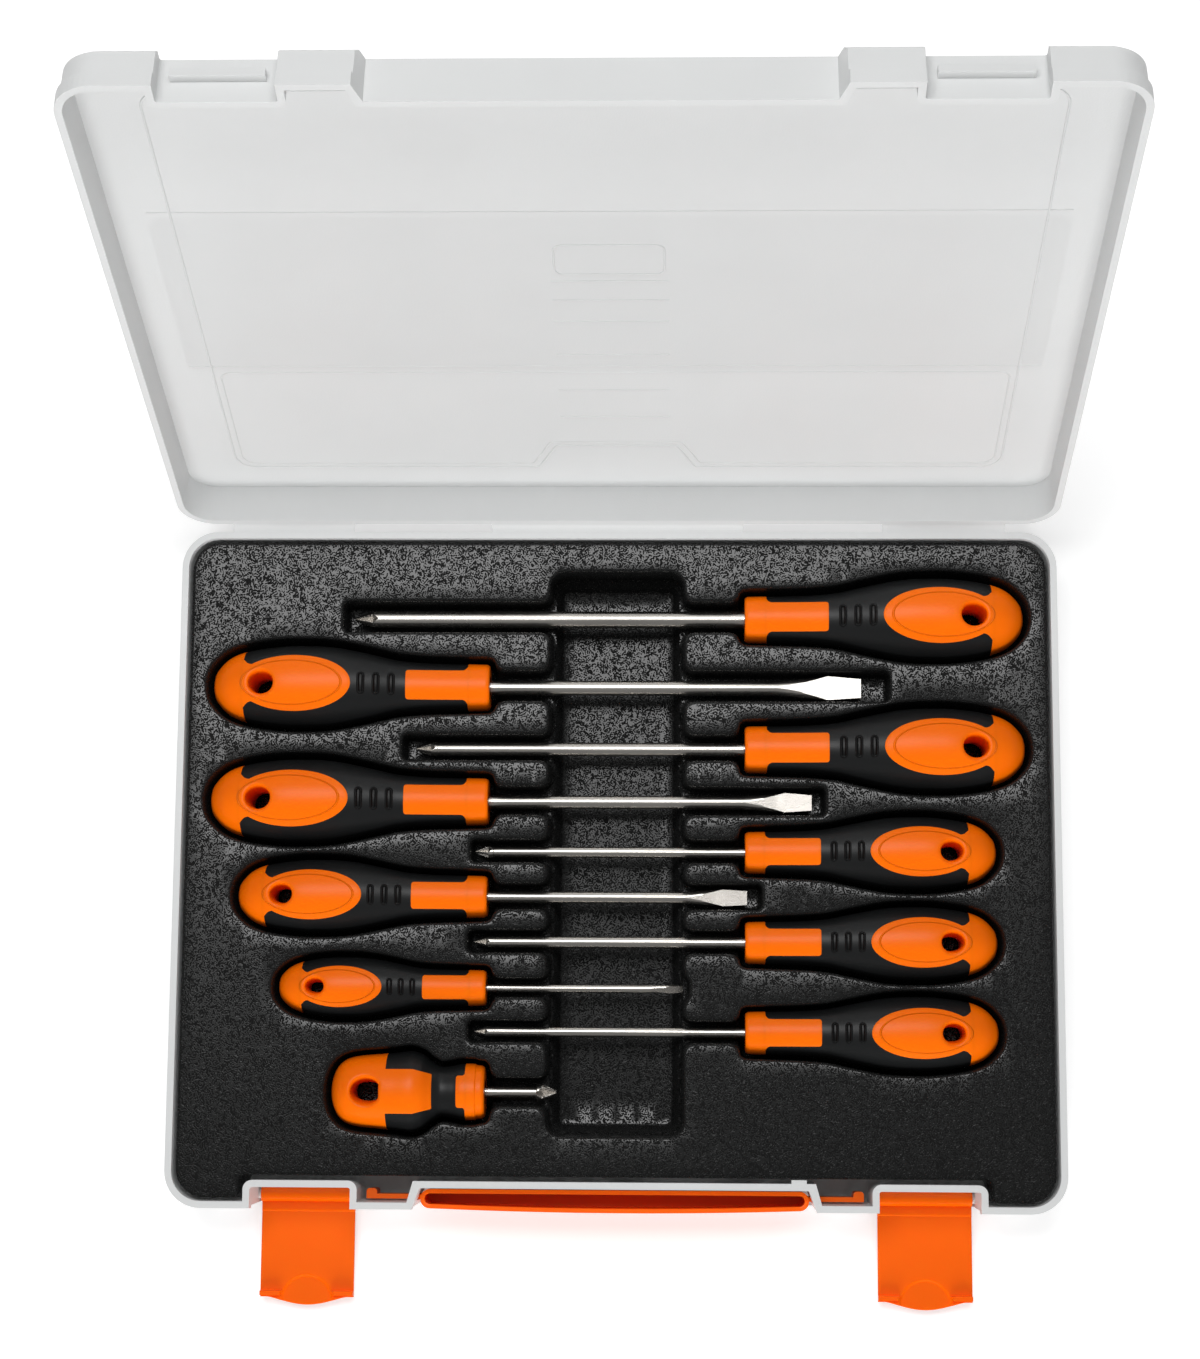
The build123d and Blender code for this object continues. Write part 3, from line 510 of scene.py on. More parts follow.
def handlePieces(number, side, row, kind):
    h = handles[kind]
    path = smoothPath(h["profile"], 420)
    path[:, 0] = np.maximum.accumulate(path[:, 0])
    length = path[-1, 0]

    def radiusAt(x):
        return np.interp(x, path[:, 0], path[:, 1])

    def stretch(first, last, count):
        # stations of the path between two places, with both ends
        inner = path[(path[:, 0] > first + 0.05) & (path[:, 0] < last - 0.02)]
        inner = inner[np.linspace(0, len(inner) - 1, count).astype(int)]
        ends = [(first, radiusAt(first))], [(last, radiusAt(last))]
        return np.concatenate([ends[0], inner, ends[1]])

    lift = 0.14
    orange, black = [], []
    # collar: a ring with a rounded front edge, closed at the front
    collar = stretch(0.5, h["collar"], 26)
    collar[:, 1] -= 1.1 * (1 - np.sqrt(np.clip(1 - (1 - collar[:, 0] / 1.6) ** 2, 0, 1))) * (collar[:, 0] < 1.6)
    front = np.array([(0.0, 0.5 * collar[0, 1]), (0.0, collar[0, 1] - 0.7), (0.15, collar[0, 1] - 0.25)])
    back = np.array([(h["collar"] + 0.12, collar[-1, 1] - 0.15), (h["collar"] + 0.12, collar[-1, 1] - 1.5)])
    ring = np.concatenate([front, collar, back])
    orange.append(ringSurface(ring[:, 0], ring[:, 1], 96, lift))
    # strip along the collar, with round inner corners at its root and small ones at its end
    root, corner = h["stripRound"], 0.8

    def stripHalf(x):
        flare = root * (1 - np.sqrt(np.clip(1 - ((h["collar"] + root - x) / root) ** 2, 0, 1)))
        tuck = corner * (1 - np.sqrt(np.clip(1 - ((x - h["stripEnd"] + corner) / corner) ** 2, 0, 1)))
        return h["stripHalf"] + np.where(x < h["collar"] + root, flare, 0) - np.where(
            x > h["stripEnd"] - corner, tuck, 0)

    def inStrip(x, s):
        across = radiusAt(x) * np.sin(np.clip(s / radiusAt(x), -pi / 2, pi / 2))
        return (x > h["collar"] - 0.6) & (x < h["stripEnd"]) & (np.abs(across) < stripHalf(x))

    orange += fanPatch(radiusAt, inStrip, h["collar"] + 1.3 * root, lambda a: np.zeros_like(a), 180, 9, lift + 0.01)
    # window: an oval that runs into the tail with the hanging hole
    holeX, holeR = h["hole"]
    oval = "along" in h
    if oval:
        wing = h["wingEnd"] - h["wingStart"]
        neck = h["across"] * math.sqrt(1 - ((h["wingStart"] - h["middle"]) / h["along"]) ** 2)

        def windowHalf(x):
            body = h["across"] * np.sqrt(np.clip(1 - ((x - h["middle"]) / h["along"]) ** 2, 0, 1))
            flare = wing * (1 - np.sqrt(np.clip(1 - ((x - h["wingStart"]) / wing) ** 2, 0, 1)))
            return np.where(x < h["wingStart"], body, neck + flare)

        def inWindow(x, s):
            across = radiusAt(x) * np.sin(np.clip(s / radiusAt(x), -pi / 2, pi / 2))
            return (x > h["tip"]) & (x < h["wingEnd"] + 0.6) & (np.abs(across) < windowHalf(x))

        orange += fanPatch(radiusAt, inWindow, holeX, lambda a: np.full_like(a, holeR), 320, 22, lift + 0.01)
        tail = stretch(h["wingEnd"], length, 40)
        lip = np.array([(h["wingEnd"] - 0.12, tail[0, 1] - 1.5), (h["wingEnd"] - 0.12, tail[0, 1] - 0.15)])
        ring = np.concatenate([lip, tail])
        orange.append(ringSurface(ring[:, 0], ring[:, 1], 128, lift))
    else:
        def inWindow(x, s):
            panel = np.clip(h["panelTip"] + (h["across"] - h["panelTip"]) * (x - h["tip"])
                            / (h["panelFull"] - h["tip"]), 0, h["across"])
            across = radiusAt(x) * np.sin(np.clip(s / np.maximum(radiusAt(x), 1e-6), -pi / 2, pi / 2))
            butt = np.abs(s) < radiusAt(x) * pi / 2
            return (x > h["tip"]) & (x < length) & np.where(x < h["wingEnd"], np.abs(across) < panel, butt)

        def holeReach(a):
            # round, but flat on the side that faces the blade
            return np.where(np.cos(a) < -0.05, np.minimum(holeR, h["holeFlat"] / np.maximum(-np.cos(a), 0.05)), holeR)

        orange += fanPatch(radiusAt, inWindow, holeX, holeReach, 400, 26, lift, seamless=True)
    # sleeve: the soft grip between the collar and the butt, open where the tail passes through
    sleeve = stretch(h["collar"], h["wingEnd"], 90)
    ends = np.array([(h["collar"], sleeve[0, 1] - 2.0), (h["wingEnd"], sleeve[-1, 1] - 2.0)])
    ring = np.concatenate([ends[:1], sleeve, ends[1:]])
    points, faces = ringSurface(ring[:, 0], ring[:, 1], 112, 0.0)
    centre = points[faces].mean(1)
    hidden = oval & (np.hypot(centre[:, 0] - holeX, centre[:, 1]) < holeR + 1.6)
    black.append((points, faces[~hidden]))

    def mapped(parts, middle, size):
        # the plan map: place along and across the handle over the given middle and sizes
        return [(placeDriver(p, side, row), f, (p[:, :2] - (middle, 0)) / size) for p, f in parts]

    core = mapped(orange, h["lineMiddle"], (h["lineAlong"], h["lineAcross"]))
    grip = mapped(black, h["slots"], (h["slotPitch"], h["slotHalf"]))
    node = f"screwdriver_{number}"
    makePiece(f"{node}_inlay", core, node, coreOrange, (f"{node}_core",), sharp=50)
    makePiece(f"{node}_sleeve", grip, node, gripRubber, (f"{node}_grip",), sharp=50)


def crossBlade(length, shaft, spread):
    # a round bar whose section becomes four ribs near the tip: the larger of two crossed bars
    # inside a round that narrows to a blunt point
    radius = shaft / 2
    fluted = 3.2 * radius * min(spread, 1.08)
    lead = np.array([0.0, 0.5, 0.985]) * (fluted - length)
    x = np.concatenate([lead, np.linspace(fluted - length, -length, 44)])
    turn = np.linspace(0, 2 * pi, 128, endpoint=False)
    t = np.clip((fluted - length - x) / fluted, 0, 1)[:, None]
    outer = radius * (1 + (spread - 1) * np.clip(t / 0.05, 0, 1)) * (
        1 - 0.80 * np.clip((t - 0.28) / 0.72, 0, 1) ** 1.1)
    bar = radius * (1.0 - 0.74 * np.clip((t - 0.02) / 0.30, 0, 1) ** 0.8) * (
        1 - 0.35 * np.clip((t - 0.5) / 0.5, 0, 1))
    side = turn[None] % (pi / 2)
    side = np.minimum(side, pi / 2 - side)
    rib = bar / np.maximum(np.sin(side), 1e-6)
    r = np.minimum(np.where(t > 0.02, rib, outer), outer)
    r = np.maximum(r, np.minimum(bar * 1.3, outer))
    return x, r * np.cos(turn), r * np.sin(turn)


def flatBlade(length, shaft, width, belly):
    # a round bar that flares evenly to its widest and narrows to the tip, ground flat above and
    # below: an ellipse cut by two planes, whose flat grows evenly from nothing to the full width
    radius, thickness = shaft / 2, width * 0.15 / 2
    flare = min(4.6 * width, 34.0)
    x = np.concatenate([[0.0, 0.5 * (flare - length)], np.linspace(flare - length, -length, 60)])
    t = np.clip((flare - length - x) / flare, 0, 1)
    half = np.interp(t, [0, 0.06, 0.60, 0.635, 0.67, 1], [radius, radius * 1.02, belly * 0.494, belly / 2,
                                                          belly * 0.494, width / 2])[:, None]
    thin = np.interp(t, [0, 0.5, 1], [radius, 0.42 * radius + 0.58 * thickness, thickness])[:, None]
    flat = np.clip((t - 0.02) / 0.60, 0, 0.985)[:, None]
    height = thin / np.sqrt(1 - flat**2)
    most = np.arcsin(np.clip(thin / height, -1, 1))
    u = np.linspace(1, -1, 9)[None, :-1]
    a = np.linspace(1, -1, 15)[None, :-1]
    y = np.concatenate([half * flat * u, -half * np.cos(most * a), -half * flat * u, half * np.cos(most * a)], 1)
    z = np.concatenate([thin + 0 * u, height * np.sin(most * a), -thin + 0 * u, -height * np.sin(most * a)], 1)
    return x, y, z


def bladePiece(number, side, row, length, shaft, width, roll, wide):
    x, y, z = flatBlade(length, shaft, width, wide) if width else crossBlade(length, shaft, wide)
    c, s = math.cos(math.radians(roll)), math.sin(math.radians(roll))
    points = np.stack([np.broadcast_to(x[:, None], y.shape), y * c - z * s, y * s + z * c], -1)
    # both ends close on a point of the axis
    tip = np.broadcast_to(np.array([x[-1], 0, 0]), (1, y.shape[1], 3))
    tail = np.broadcast_to(np.array([0.0, 0, 0]), (1, y.shape[1], 3))
    points = np.concatenate([tail, points, tip])
    faces = gridFaces(points.shape[0], points.shape[1], closed=True)[:, ::-1]
    points = placeDriver(points.reshape(-1, 3), side, row)
    node = f"screwdriver_{number}"
    makePiece(f"{node}_bar", [(points, faces, None)], node, steel, (f"{node}_blade",), sharp=24)


for number, side, row, kind, length, shaft, width, _, _, roll, wide in drivers:
    handlePieces(number, side, row, kind)
    bladePiece(number, side, row, length, shaft, width, roll, wide)
report("screwdrivers made")


tray = {"top": 31.0, "clear": 2.0, "channelPlace": (0.0, 6.0), "channelHalf": (26.0, 108.5),
        "channelFloor": 8.0, "channelRound": 6.0, "channelSlope": 3.2, "half": (166.2, 126.2), "round": 11.0,
        "front": -117.6, "lobe": 142.0, "foot": 1.8, "slotRound": 2.2, "under": 3.0, "seat": 0.3,
        "blend": 4.5, "cell": 1.0}
# lip and foot of a hollow's wall: distance outside its outline, height from the top or the floor
lipSteps = [(1.3, 0.0), (0.9, -0.08), (0.5, -0.3), (0.15, -0.75), (0.0, -1.2)]
footSteps = [(-0.45, 1.5), (-0.8, 0.5), (-1.7, 0.0)]


def boxDistance(x, y, middle, half, radius):
    # signed distance to a box with round corners
    qx = np.abs(x - middle[0]) - half[0] + radius
    qy = np.abs(y - middle[1]) - half[1] + radius
    return np.hypot(np.maximum(qx, 0), np.maximum(qy, 0)) + np.minimum(np.maximum(qx, qy), 0) - radius


def loopDistance(x, y, loop):
    # signed distance to a closed outline near it: nearest side, and inside by counting crossings
    out = np.full(x.shape, 50.0)
    low, high = loop.min(0) - 6, loop.max(0) + 6
    near = (x > low[0]) & (x < high[0]) & (y > low[1]) & (y < high[1])
    p = np.stack([x[near], y[near]], -1)
    a, b = loop, np.roll(loop, -1, axis=0)
    ab = b - a
    made = []
    for part in np.array_split(p, max(len(p) // 3000, 1)):
        ap = part[:, None] - a
        t = np.clip((ap * ab).sum(-1) / (ab**2).sum(-1), 0, 1)
        gap = np.sqrt(((ap - t[..., None] * ab) ** 2).sum(-1)).min(1)
        crossed = (a[:, 1] > part[:, 1:]) != (b[:, 1] > part[:, 1:])
        reach = a[:, 0] + (part[:, 1:] - a[:, 1]) / np.where(ab[:, 1] == 0, 1e-12, ab[:, 1]) * ab[:, 0]
        made.append(np.where((crossed & (part[:, :1] < reach)).sum(1) % 2 == 1, -gap, gap))
    out[near] = np.concatenate(made)
    return out


def blended(a, b, width):
    # the smaller of two distances, with the inner corner between them rounded off
    mix = np.maximum(width - np.abs(a - b), 0) / width
    return np.minimum(a, b) - mix**2 * width / 4


def hollowFields(x, y):
    # (distance field, floor, slope) of every hollow: channel, handle cavities and blade slots
    channel = boxDistance(x, y, tray["channelPlace"], tray["channelHalf"], tray["channelRound"])
    fields = [(channel, tray["channelFloor"], tray["channelSlope"])]
    for _, side, row, kind, length, shaft, _, slotWidth, room, _, _ in drivers:
        h = handles[kind]
        path = smoothPath(h["profile"], 110)
        path[:, 0] = np.maximum.accumulate(path[:, 0])
        loop = np.concatenate([[(0.0, 0.0)], path, path[::-1][1:] * (1, -1)]) * (side, 1)
        loop += (side * placing["collar"], row)
        cavity = loopDistance(x, y, loop) - tray["clear"]
        back, reach = h["collar"], length + room
        middle = (side * (placing["collar"] + (back - reach) / 2), row)
        slot = boxDistance(x, y, middle, ((back + reach) / 2, slotWidth / 2), tray["slotRound"])
        slot = blended(blended(slot, cavity, tray["blend"]), channel, tray["blend"])
        fields.append((slot, placing["axisHeight"] - shaft / 2 - tray["under"], 0.0))
        fields.append((cavity, placing["axisHeight"] - path[:, 1].max() - tray["seat"], 0.0))
    return fields


def contourEdges(field, level, xs, ys):
    # where the field crosses a level: a point on every grid side that it crosses, by even
    # shares of the two values, and a short edge across every cell between two such points
    f = field - level
    up = f > 0
    flat, upright = up[:, 1:] != up[:, :-1], up[1:] != up[:-1]
    flatIds = np.where(flat, np.cumsum(flat).reshape(flat.shape) - 1, -1)
    uprightIds = np.where(upright, np.cumsum(upright).reshape(upright.shape) - 1 + flat.sum(), -1)
    j, i = np.nonzero(flat)
    t = f[j, i] / (f[j, i] - f[j, i + 1])
    points = [np.stack([xs[i] + t * (xs[1] - xs[0]), ys[j]], -1)]
    j, i = np.nonzero(upright)
    t = f[j, i] / (f[j, i] - f[j + 1, i])
    points.append(np.stack([xs[i], ys[j] + t * (ys[1] - ys[0])], -1))
    cell = np.stack([flatIds[:-1], uprightIds[:, 1:], flatIds[1:], uprightIds[:, :-1]], -1).reshape(-1, 4)
    count = (cell >= 0).sum(1)
    pairs = np.sort(cell[count == 2], axis=1)[:, 2:]
    saddle = cell[count == 4].reshape(-1, 2)
    return np.concatenate(points), np.concatenate([pairs, saddle])


def hollowHeight(distance, floor, slope):
    # height of the sheet at a distance from a hollow's outline, by its lip and foot
    steps = sorted([(o, tray["top"] + z) for o, z in lipSteps] + [(o - slope, floor + z) for o, z in footSteps])
    return np.interp(distance, [s[0] for s in steps], [s[1] for s in steps])


def onGrid(field, x, y, xs, ys):
    # the field between its grid points, by even shares along both axes
    u = np.clip((x - xs[0]) / (xs[1] - xs[0]), 0, len(xs) - 1.001)
    v = np.clip((y - ys[0]) / (ys[1] - ys[0]), 0, len(ys) - 1.001)
    i, j = u.astype(int), v.astype(int)
    u, v = u - i, v - j
    return ((field[j, i] * (1 - u) + field[j, i + 1] * u) * (1 - v)
            + (field[j + 1, i] * (1 - u) + field[j + 1, i + 1] * u) * v)


def roundedLoop(corners, count=14):
    # a closed outline through corners (x, y, radius), each an arc that touches both sides
    p = np.array([c[:2] for c in corners], float)
    out = []
    for k, (_, _, radius) in enumerate(corners):
        before, after = p[k - 1] - p[k], p[(k + 1) % len(p)] - p[k]
        before /= np.linalg.norm(before)
        after /= np.linalg.norm(after)
        bisector = (before + after) / np.linalg.norm(before + after)
        half = math.acos(before @ bisector)
        across = (after - (after @ bisector) * bisector) / math.sin(half)
        a = np.linspace(half - pi / 2, pi / 2 - half, count)[:, None]
        out.append(p[k] + bisector * radius / math.sin(half) + radius * (across * np.sin(a) - bisector * np.cos(a)))
    return np.concatenate(out)


def evenLoop(loop, step):
    # the same closed outline with a point at least every step
    sides = np.linalg.norm(np.roll(loop, -1, axis=0) - loop, axis=1)
    along = np.concatenate([[0], np.cumsum(sides)])
    at = np.unique(np.concatenate([along[:-1], np.arange(0, along[-1], step)]))
    at = at[np.concatenate([[True], np.diff(at) > 0.05])]
    closed = np.concatenate([loop, loop[:1]])
    return np.stack([np.interp(at, along, closed[:, 0]), np.interp(at, along, closed[:, 1])], -1)


def trayRim():
    # the tray's outer edge: a rounded sheet cut back at the front between two corner lobes
    hw, hd = tray["half"]
    lobe, front, r = tray["lobe"], tray["front"], tray["round"]
    corners = [(hw, hd, r), (-hw, hd, r), (-hw, -hd, r), (-lobe, -hd, 2.0), (-lobe, front, 2.5),
               (lobe, front, 2.5), (lobe, -hd, 2.0), (hw, -hd, r)]
    return evenLoop(roundedLoop(corners), 2.5)


def buildTray():
    rim = trayRim()
    ahead = np.roll(rim, -1, axis=0) - np.roll(rim, 1, axis=0)
    ahead /= np.linalg.norm(ahead, axis=1)[:, None]
    inward = np.stack([-ahead[:, 1], ahead[:, 0]], -1)
    cell = tray["cell"]
    xs = np.arange(-168, 168 + cell, cell)
    ys = np.arange(-128, 128 + cell, cell)
    fields = hollowFields(*np.meshgrid(xs, ys))
    inner = rim + inward * 1.3
    n = len(inner)
    gx, gy = np.meshgrid(np.arange(-160, 161, 8.0), np.arange(-120, 121, 8.0))
    points = [inner, np.stack([gx.ravel(), gy.ravel()], -1)]
    edges = [np.stack([np.arange(n), (np.arange(n) + 1) % n], -1)]
    start = n + gx.size
    for k, (field, floor, slope) in enumerate(fields):
        # a cavity's lip is its slot's, so only its foot is added
        levels = [o for o, _ in lipSteps if k == 0 or k % 2 == 1] + [o - slope for o, _ in footSteps]
        for level in levels:
            made, joined = contourEdges(field, level, xs, ys)
            points.append(made)
            edges.append(joined + start)
            start += len(made)
    points, edges = np.concatenate(points), np.concatenate(edges)
    flat, _, faces, *_ = geometry.delaunay_2d_cdt(points.tolist(), edges.tolist(), [], 0, 0.02)
    flat, faces = np.array([tuple(v) for v in flat]), np.array(faces)
    middle = flat[faces].mean(1)
    faces = faces[loopDistance(middle[:, 0], middle[:, 1], inner) < 0]
    a, b, c = (flat[faces[:, k]] for k in range(3))
    turned = (b - a)[:, 0] * (c - a)[:, 1] - (b - a)[:, 1] * (c - a)[:, 0] < 0
    faces[turned] = faces[turned][:, ::-1]
    height = np.full(len(flat), tray["top"])
    for field, floor, slope in fields:
        height = np.minimum(height, hollowHeight(onGrid(field, flat[:, 0], flat[:, 1], xs, ys), floor, slope))
    # the rim rolls over into a skirt that stands on its foot
    rolls = [(1.3, 0.0), (0.8, -0.06), (0.4, -0.3), (0.12, -0.75), (0.0, -1.3), (0.0, -8.0), (0.0, tray["foot"] - tray["top"])]
    ring = np.concatenate([np.column_stack([rim + inward * o, np.full(n, tray["top"] + z)]) for o, z in rolls])
    skirt = gridFaces(len(rolls), n, closed=True)[:, ::-1]
    makePiece("trayInsert", [(np.column_stack([flat, height]), faces, None), (ring, skirt, None)], "base", leather,
              ("tray_insert",), sharp=60, merge=0.02)
    print("tray triangles", len(faces) + 2 * len(skirt))


buildTray()
report("tray made")


def dressedCopy(node, name, body, material, bevel, segments=2, sharp=30):
    # the solid's own mesh, merged and given small rounded edges
    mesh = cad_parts[node].data.copy()
    mesh.name = name
    tidyMesh(mesh, 2e-6, sharp)
    piece = addPiece(name, mesh, body, material, (node,))
    edge = piece.modifiers.new("rounded edges", "BEVEL")
    edge.width = bevel * mm
    edge.segments = segments
    edge.limit_method = "ANGLE"
    edge.angle_limit = math.radians(40)
    # large flat faces keep their own normals up to their edges
    shading = piece.modifiers.new("even shading", "WEIGHTED_NORMAL")
    shading.keep_sharp = True
    return piece


latch = {"middle": 118.5, "axis": (-125.1, 7.5), "half": 18.0, "bottom": 4.5, "top": 6.3, "length": 39.2,
         "lip": 3.0, "lipHalf": 15.5, "start": 2.0, "edge": 0.45, "stepAt": 6.9, "step": 0.5,
         "ridge": (36.75, 38.65), "ridgeHeight": 2.3, "dishRadius": 10.2, "dishMiddle": 40.9, "dishDepth": 0.75,
         "barrel": 3.0, "bore": 2.1, "slot": 1.3}


def eased(t):
    # 0 below 0, 1 above 1, with a smooth rise between
    t = np.clip(t, 0, 1)
    return t * t * (3 - 2 * t)


def latchPlate():
    # height of the plate over (x, distance from the pin): a step at the pocket's mouth, a catch ridge
    # that stops at the thumb dish, the dish, and edges that roll down
    half, lipHalf = latch["half"], latch["lipHalf"]
    x = np.concatenate([np.linspace(-half, half, 95), half - np.array([0.04, 0.12, 0.25]),
                        np.array([0.04, 0.12, 0.25]) - half])
    x = np.unique(x)
    end = latch["length"] + latch["lip"] * np.clip(1 - (x / lipHalf) ** 2, 0, 1) ** 1.5
    low, high = latch["ridge"]
    straight = np.unique(np.concatenate([
        np.linspace(latch["start"], low - 0.1, 92), low + np.array([0, 0.05, 0.1, 0.15, 0.4]),
        np.linspace(low + 0.6, high - 0.5, 5), high - np.array([0.3, 0.15, 0.1, 0.05, 0])]))
    share = np.array([0.2, 0.4, 0.6, 0.75, 0.86, 0.94, 0.985, 1.0])[:, None]
    v = np.concatenate([np.broadcast_to(straight[:, None], (len(straight), len(x))), high + share * (end - high)])
    x = np.broadcast_to(x, v.shape)
    gap = np.hypot(x, v - latch["dishMiddle"])
    z = latch["top"] + latch["step"] * (1 - eased((v - latch["stepAt"]) / 0.5 + 1))
    z = z + latch["ridgeHeight"] * eased((v - low) / 0.15) * eased((high - v) / 0.15) * eased(
        (gap - latch["dishRadius"] - 0.1) / 0.5)
    z = z - latch["dishDepth"] * eased((latch["dishRadius"] - gap) / 0.8)
    edge = latch["edge"]
    inset = np.minimum(np.minimum(half - np.abs(x), end - v), edge)
    z = z - edge + np.sqrt(np.maximum(edge**2 - (edge - inset) ** 2, 0))
    points = np.stack([x, -v, z], -1)
    rows, columns = v.shape
    rim = np.concatenate([points[0, :-1], points[:-1, -1], points[-1, :0:-1], points[:0:-1, 0]])
    foot = rim * (1, 1, 0) + (0, 0, latch["bottom"])
    walls = gridFaces(2, len(rim), closed=True)
    floor = np.arange(len(rim))[None, ::-1]
    return [(points.reshape(-1, 3), gridFaces(rows, columns)[:, ::-1]),
            (np.concatenate([rim, foot]), walls), (foot, floor)]


def latchBarrel():
    # a ring with a gap that snaps over the pin, carried across the latch
    gapOut = math.asin(latch["slot"] / latch["barrel"])
    gapIn = math.asin(latch["slot"] / latch["bore"])
    out = np.linspace(gapOut, 2 * pi - gapOut, 48)
    back = np.linspace(2 * pi - gapIn, gapIn, 36)
    y = np.concatenate([latch["barrel"] * np.cos(out), latch["bore"] * np.cos(back)])
    z = np.concatenate([latch["barrel"] * np.sin(out), latch["bore"] * np.sin(back)]) + latch["axis"][1]
    half = latch["half"]
    steps = [(-half, 0.92), (-half + 0.1, 1.0), (half - 0.1, 1.0), (half, 0.92)]
    middle = np.array([y.mean(), z.mean()])
    rows = [np.column_stack([np.full(len(y), x), y, z]) for x, _ in steps]
    count = len(y)
    caps = np.stack([np.arange(count)[::-1], np.arange(count) + 3 * count])
    return [(np.concatenate(rows), gridFaces(4, count, closed=True)), (np.concatenate(rows), caps)]


def latchPiece(side, name):
    place = np.array([side * latch["middle"], latch["axis"][0], 0.0])
    plate = [(points + place, faces, None) for points, faces in latchPlate()]
    barrel = [(points + place, faces, None) for points, faces in latchBarrel()]
    node = f"latch_{name}"
    makePiece(f"{node}_swing", plate + barrel, node, shellOrange, (node,), sharp=40)


# (x, distance from the hinge towards the lid's front edge) on the lid's inner face
lid = {"hinge": (132.0, 33.0), "turn": 109.0, "inner": 15.3, "sink": 0.35, "window": (147.0, 19.5, 241.0, 8.0),
       "tab": (30.0, 23.0, 34.5), "ledge": 84.0, "plate": (19.0, 144.0, 160.5, 3.0),
       "marks": (140.0, 128.8, 116.0, 95.3, 72.5, 54.6), "markHalf": 20.5, "card": (88.1, 179.0, 155.0)}


def onLid(x, reach, rise):
    # a place on the open lid: turned about the hinge from the shut lid's place
    c, s = math.cos(math.radians(lid["turn"])), math.sin(math.radians(lid["turn"]))
    y, z = lid["hinge"]
    return np.stack([x, y - c * reach + s * rise, z + s * reach + c * rise], -1)


def lidBead(path, width, height, closed):
    # a round-topped bead carried along a path on the lid's inner face, sunk a little into it
    ahead = np.roll(path, -1, axis=0) - np.roll(path, 1, axis=0)
    if not closed:
        ahead[0], ahead[-1] = path[1] - path[0], path[-1] - path[-2]
    ahead /= np.linalg.norm(ahead, axis=1)[:, None]
    beside = np.stack([-ahead[:, 1], ahead[:, 0]], -1)
    a = np.linspace(0, pi, 7)
    across = np.concatenate([np.cos(a) * width / 2, [-width / 2, width / 2]])
    rise = lid["inner"] - np.concatenate([np.sin(a) * height, [-lid["sink"], -lid["sink"]]])
    x = path[:, :1] + beside[:, :1] * across
    reach = path[:, 1:] + beside[:, 1:] * across
    if not closed:
        # both ends close on one point each, inside the panel
        x = np.concatenate([np.full((1, len(a) + 2), path[0, 0]), x, np.full((1, len(a) + 2), path[-1, 0])])
        reach = np.concatenate([np.full((1, len(a) + 2), path[0, 1]), reach, np.full((1, len(a) + 2), path[-1, 1])])
    rise = np.broadcast_to(rise, x.shape).copy()
    if not closed:
        rise[0] = rise[-1] = lid["inner"] + lid["sink"] / 2
    points = onLid(x, reach, rise)
    if closed:
        points = np.concatenate([points, points[:1]])
    faces = gridFaces(points.shape[0], points.shape[1], closed=True)
    return points.reshape(-1, 3), faces, None


def lidRibs():
    half, low, high, r = lid["window"]
    foot, top, tabTop = lid["tab"]
    window = [(half, high, r), (-half, high, r), (-half, low, r), (-foot, low, 1.5), (-top, tabTop, 1.5),
              (top, tabTop, 1.5), (foot, low, 1.5), (half, low, r)]
    inset = 2.6
    lower = [(half - inset, lid["ledge"], 4.0), (inset - half, lid["ledge"], 4.0), (inset - half, low + inset, 6.0),
             (-foot - 2, low + inset, 1.5), (-top - 2, tabTop + inset, 1.5), (top + 2, tabTop + inset, 1.5),
             (foot + 2, low + inset, 1.5), (half - inset, low + inset, 6.0)]
    near, far, wide = lid["card"]
    across, plateLow, plateHigh, plateRound = lid["plate"]
    plate = [(across, plateHigh, plateRound), (-across, plateHigh, plateRound), (-across, plateLow, plateRound),
             (across, plateLow, plateRound)]
    beads = [lidBead(evenLoop(roundedLoop(window), 8.0), 0.9, 0.32, True),
             lidBead(evenLoop(roundedLoop(lower), 8.0), 0.7, 0.25, True),
             lidBead(evenLoop(roundedLoop(plate), 4.0), 0.8, 0.3, True)]
    for reach in lid["marks"]:
        line = np.stack([np.linspace(-lid["markHalf"], lid["markHalf"], 9), np.full(9, reach)], -1)
        beads.append(lidBead(line, 0.7, 0.3, False))
    for reach in (near, far):
        line = np.stack([np.linspace(-wide, wide, 21), np.full(21, reach)], -1)
        beads.append(lidBead(line, 0.6, 0.18, False))
    makePiece("lidRibs", beads, "lid", frostedLid, (), sharp=50)


dressedCopy("base_shell", "baseTub", "base", frosted, 0.4)
dressedCopy("lid_shell", "lidTub", "lid", frostedLid, 0.4)
dressedCopy("lid_card", "lidCard", "lid", cardStock, 0.05)
lidRibs()
for side in ("left", "middle", "right"):
    dressedCopy(f"hinge_strip_{side}", f"hingeStrip_{side}", "base", frosted, 0.1)
for side, name in ((-1, "left"), (1, "right")):
    latchPiece(side, name)
    dressedCopy(f"handle_strap_{name}", f"strap_{name}", "base", shellOrange, 0.3)
dressedCopy("handle_grip", "carryGrip", "handle", shellOrange, 0.35)
report("case made")


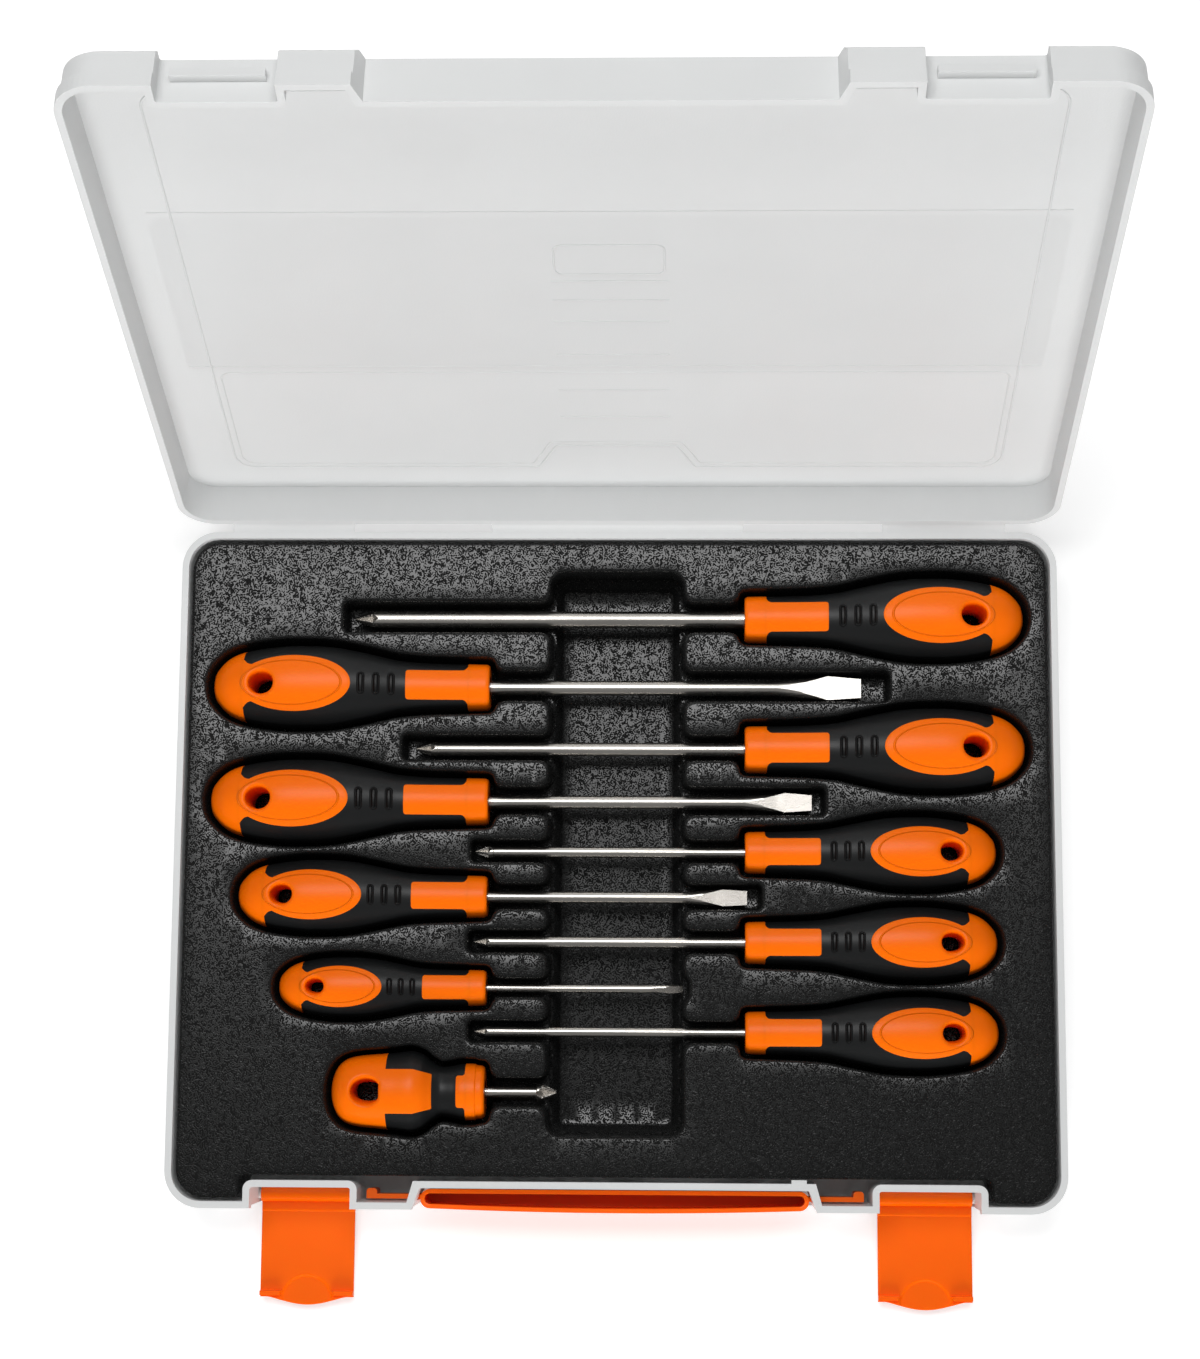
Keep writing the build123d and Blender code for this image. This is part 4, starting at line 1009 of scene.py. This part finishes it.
def buildStage():
    look = {"floor": 6.0, "paper": (0.80, 0.80, 0.80, 1), "glow": 0.45, "world": 0.23}
    mesh = bpy.data.meshes.new("floor")
    s = look["floor"] / 2
    mesh.from_pydata([(-s, -s, 0), (s, -s, 0), (s, s, 0), (-s, s, 0)], [], [(0, 1, 2, 3)])
    floor = bpy.data.objects.new("floor", mesh)
    bpy.context.scene.collection.objects.link(floor)
    material = bpy.data.materials.new("floorPaper")
    material.use_nodes = True
    tree = material.node_tree
    tree.nodes.clear()
    rays = addNode(tree, "ShaderNodeLightPath")
    seen = maths(tree, "MAXIMUM", rays.outputs["Is Camera Ray"], maths(
        tree, "MAXIMUM", rays.outputs["Is Glossy Ray"], rays.outputs["Is Transmission Ray"]))
    matt = addNode(tree, "ShaderNodeBsdfDiffuse", {"Color": look["paper"]})
    glow = addNode(tree, "ShaderNodeEmission", {"Color": (1, 1, 1, 1), "Strength": maths(
        tree, "MULTIPLY", seen, look["glow"])})
    both = addNode(tree, "ShaderNodeAddShader", {0: matt.outputs[0], 1: glow.outputs[0]})
    addNode(tree, "ShaderNodeOutputMaterial", {"Surface": both.outputs[0]})
    mesh.materials.append(material)
    world = bpy.data.worlds.new("studio")
    bpy.context.scene.world = world
    world.use_nodes = True
    background = world.node_tree.nodes["Background"]
    background.inputs["Color"].default_value = (1, 1, 1, 1)
    background.inputs["Strength"].default_value = look["world"]


def addLamp(name, place, target, size, power, glossy=True):
    lamp = bpy.data.lights.new(name, "AREA")
    lamp.shape = "RECTANGLE"
    lamp.size, lamp.size_y = size
    lamp.energy = power
    item = bpy.data.objects.new(name, lamp)
    bpy.context.scene.collection.objects.link(item)
    item.location = place
    item.visible_glossy = glossy
    aim = np.array(target, float) - np.array(place, float)
    item.rotation_euler = Vector(aim).to_track_quat("-Z", "Y").to_euler()


def addCamera():
    # turn and distance come from the case's corners in the picture
    view = {"place": (0.02628, -0.08735, 1.0696), "turn": (8.738, 1.752, 0.383), "lens": 71.93}
    camera = bpy.data.cameras.new("camera")
    camera.lens = view["lens"]
    camera.sensor_width = 36.0
    camera.clip_start, camera.clip_end = 0.05, 20.0
    item = bpy.data.objects.new("camera", camera)
    item.location = view["place"]
    item.rotation_euler = [math.radians(a) for a in view["turn"]]
    bpy.context.scene.collection.objects.link(item)
    bpy.context.scene.camera = item


buildStage()
addLamp("backSoftbox", (-0.08, 0.46, 1.38), (0, 0.1, 0.05), (0.95, 0.52), 12)
addLamp("frontFill", (0.0, -1.7, 0.45), (0, 0.2, 0.2), (1.6, 0.9), 29, glossy=False)
addCamera()
bpy.context.scene.view_settings.view_transform = "Standard"
report("lights and camera set")
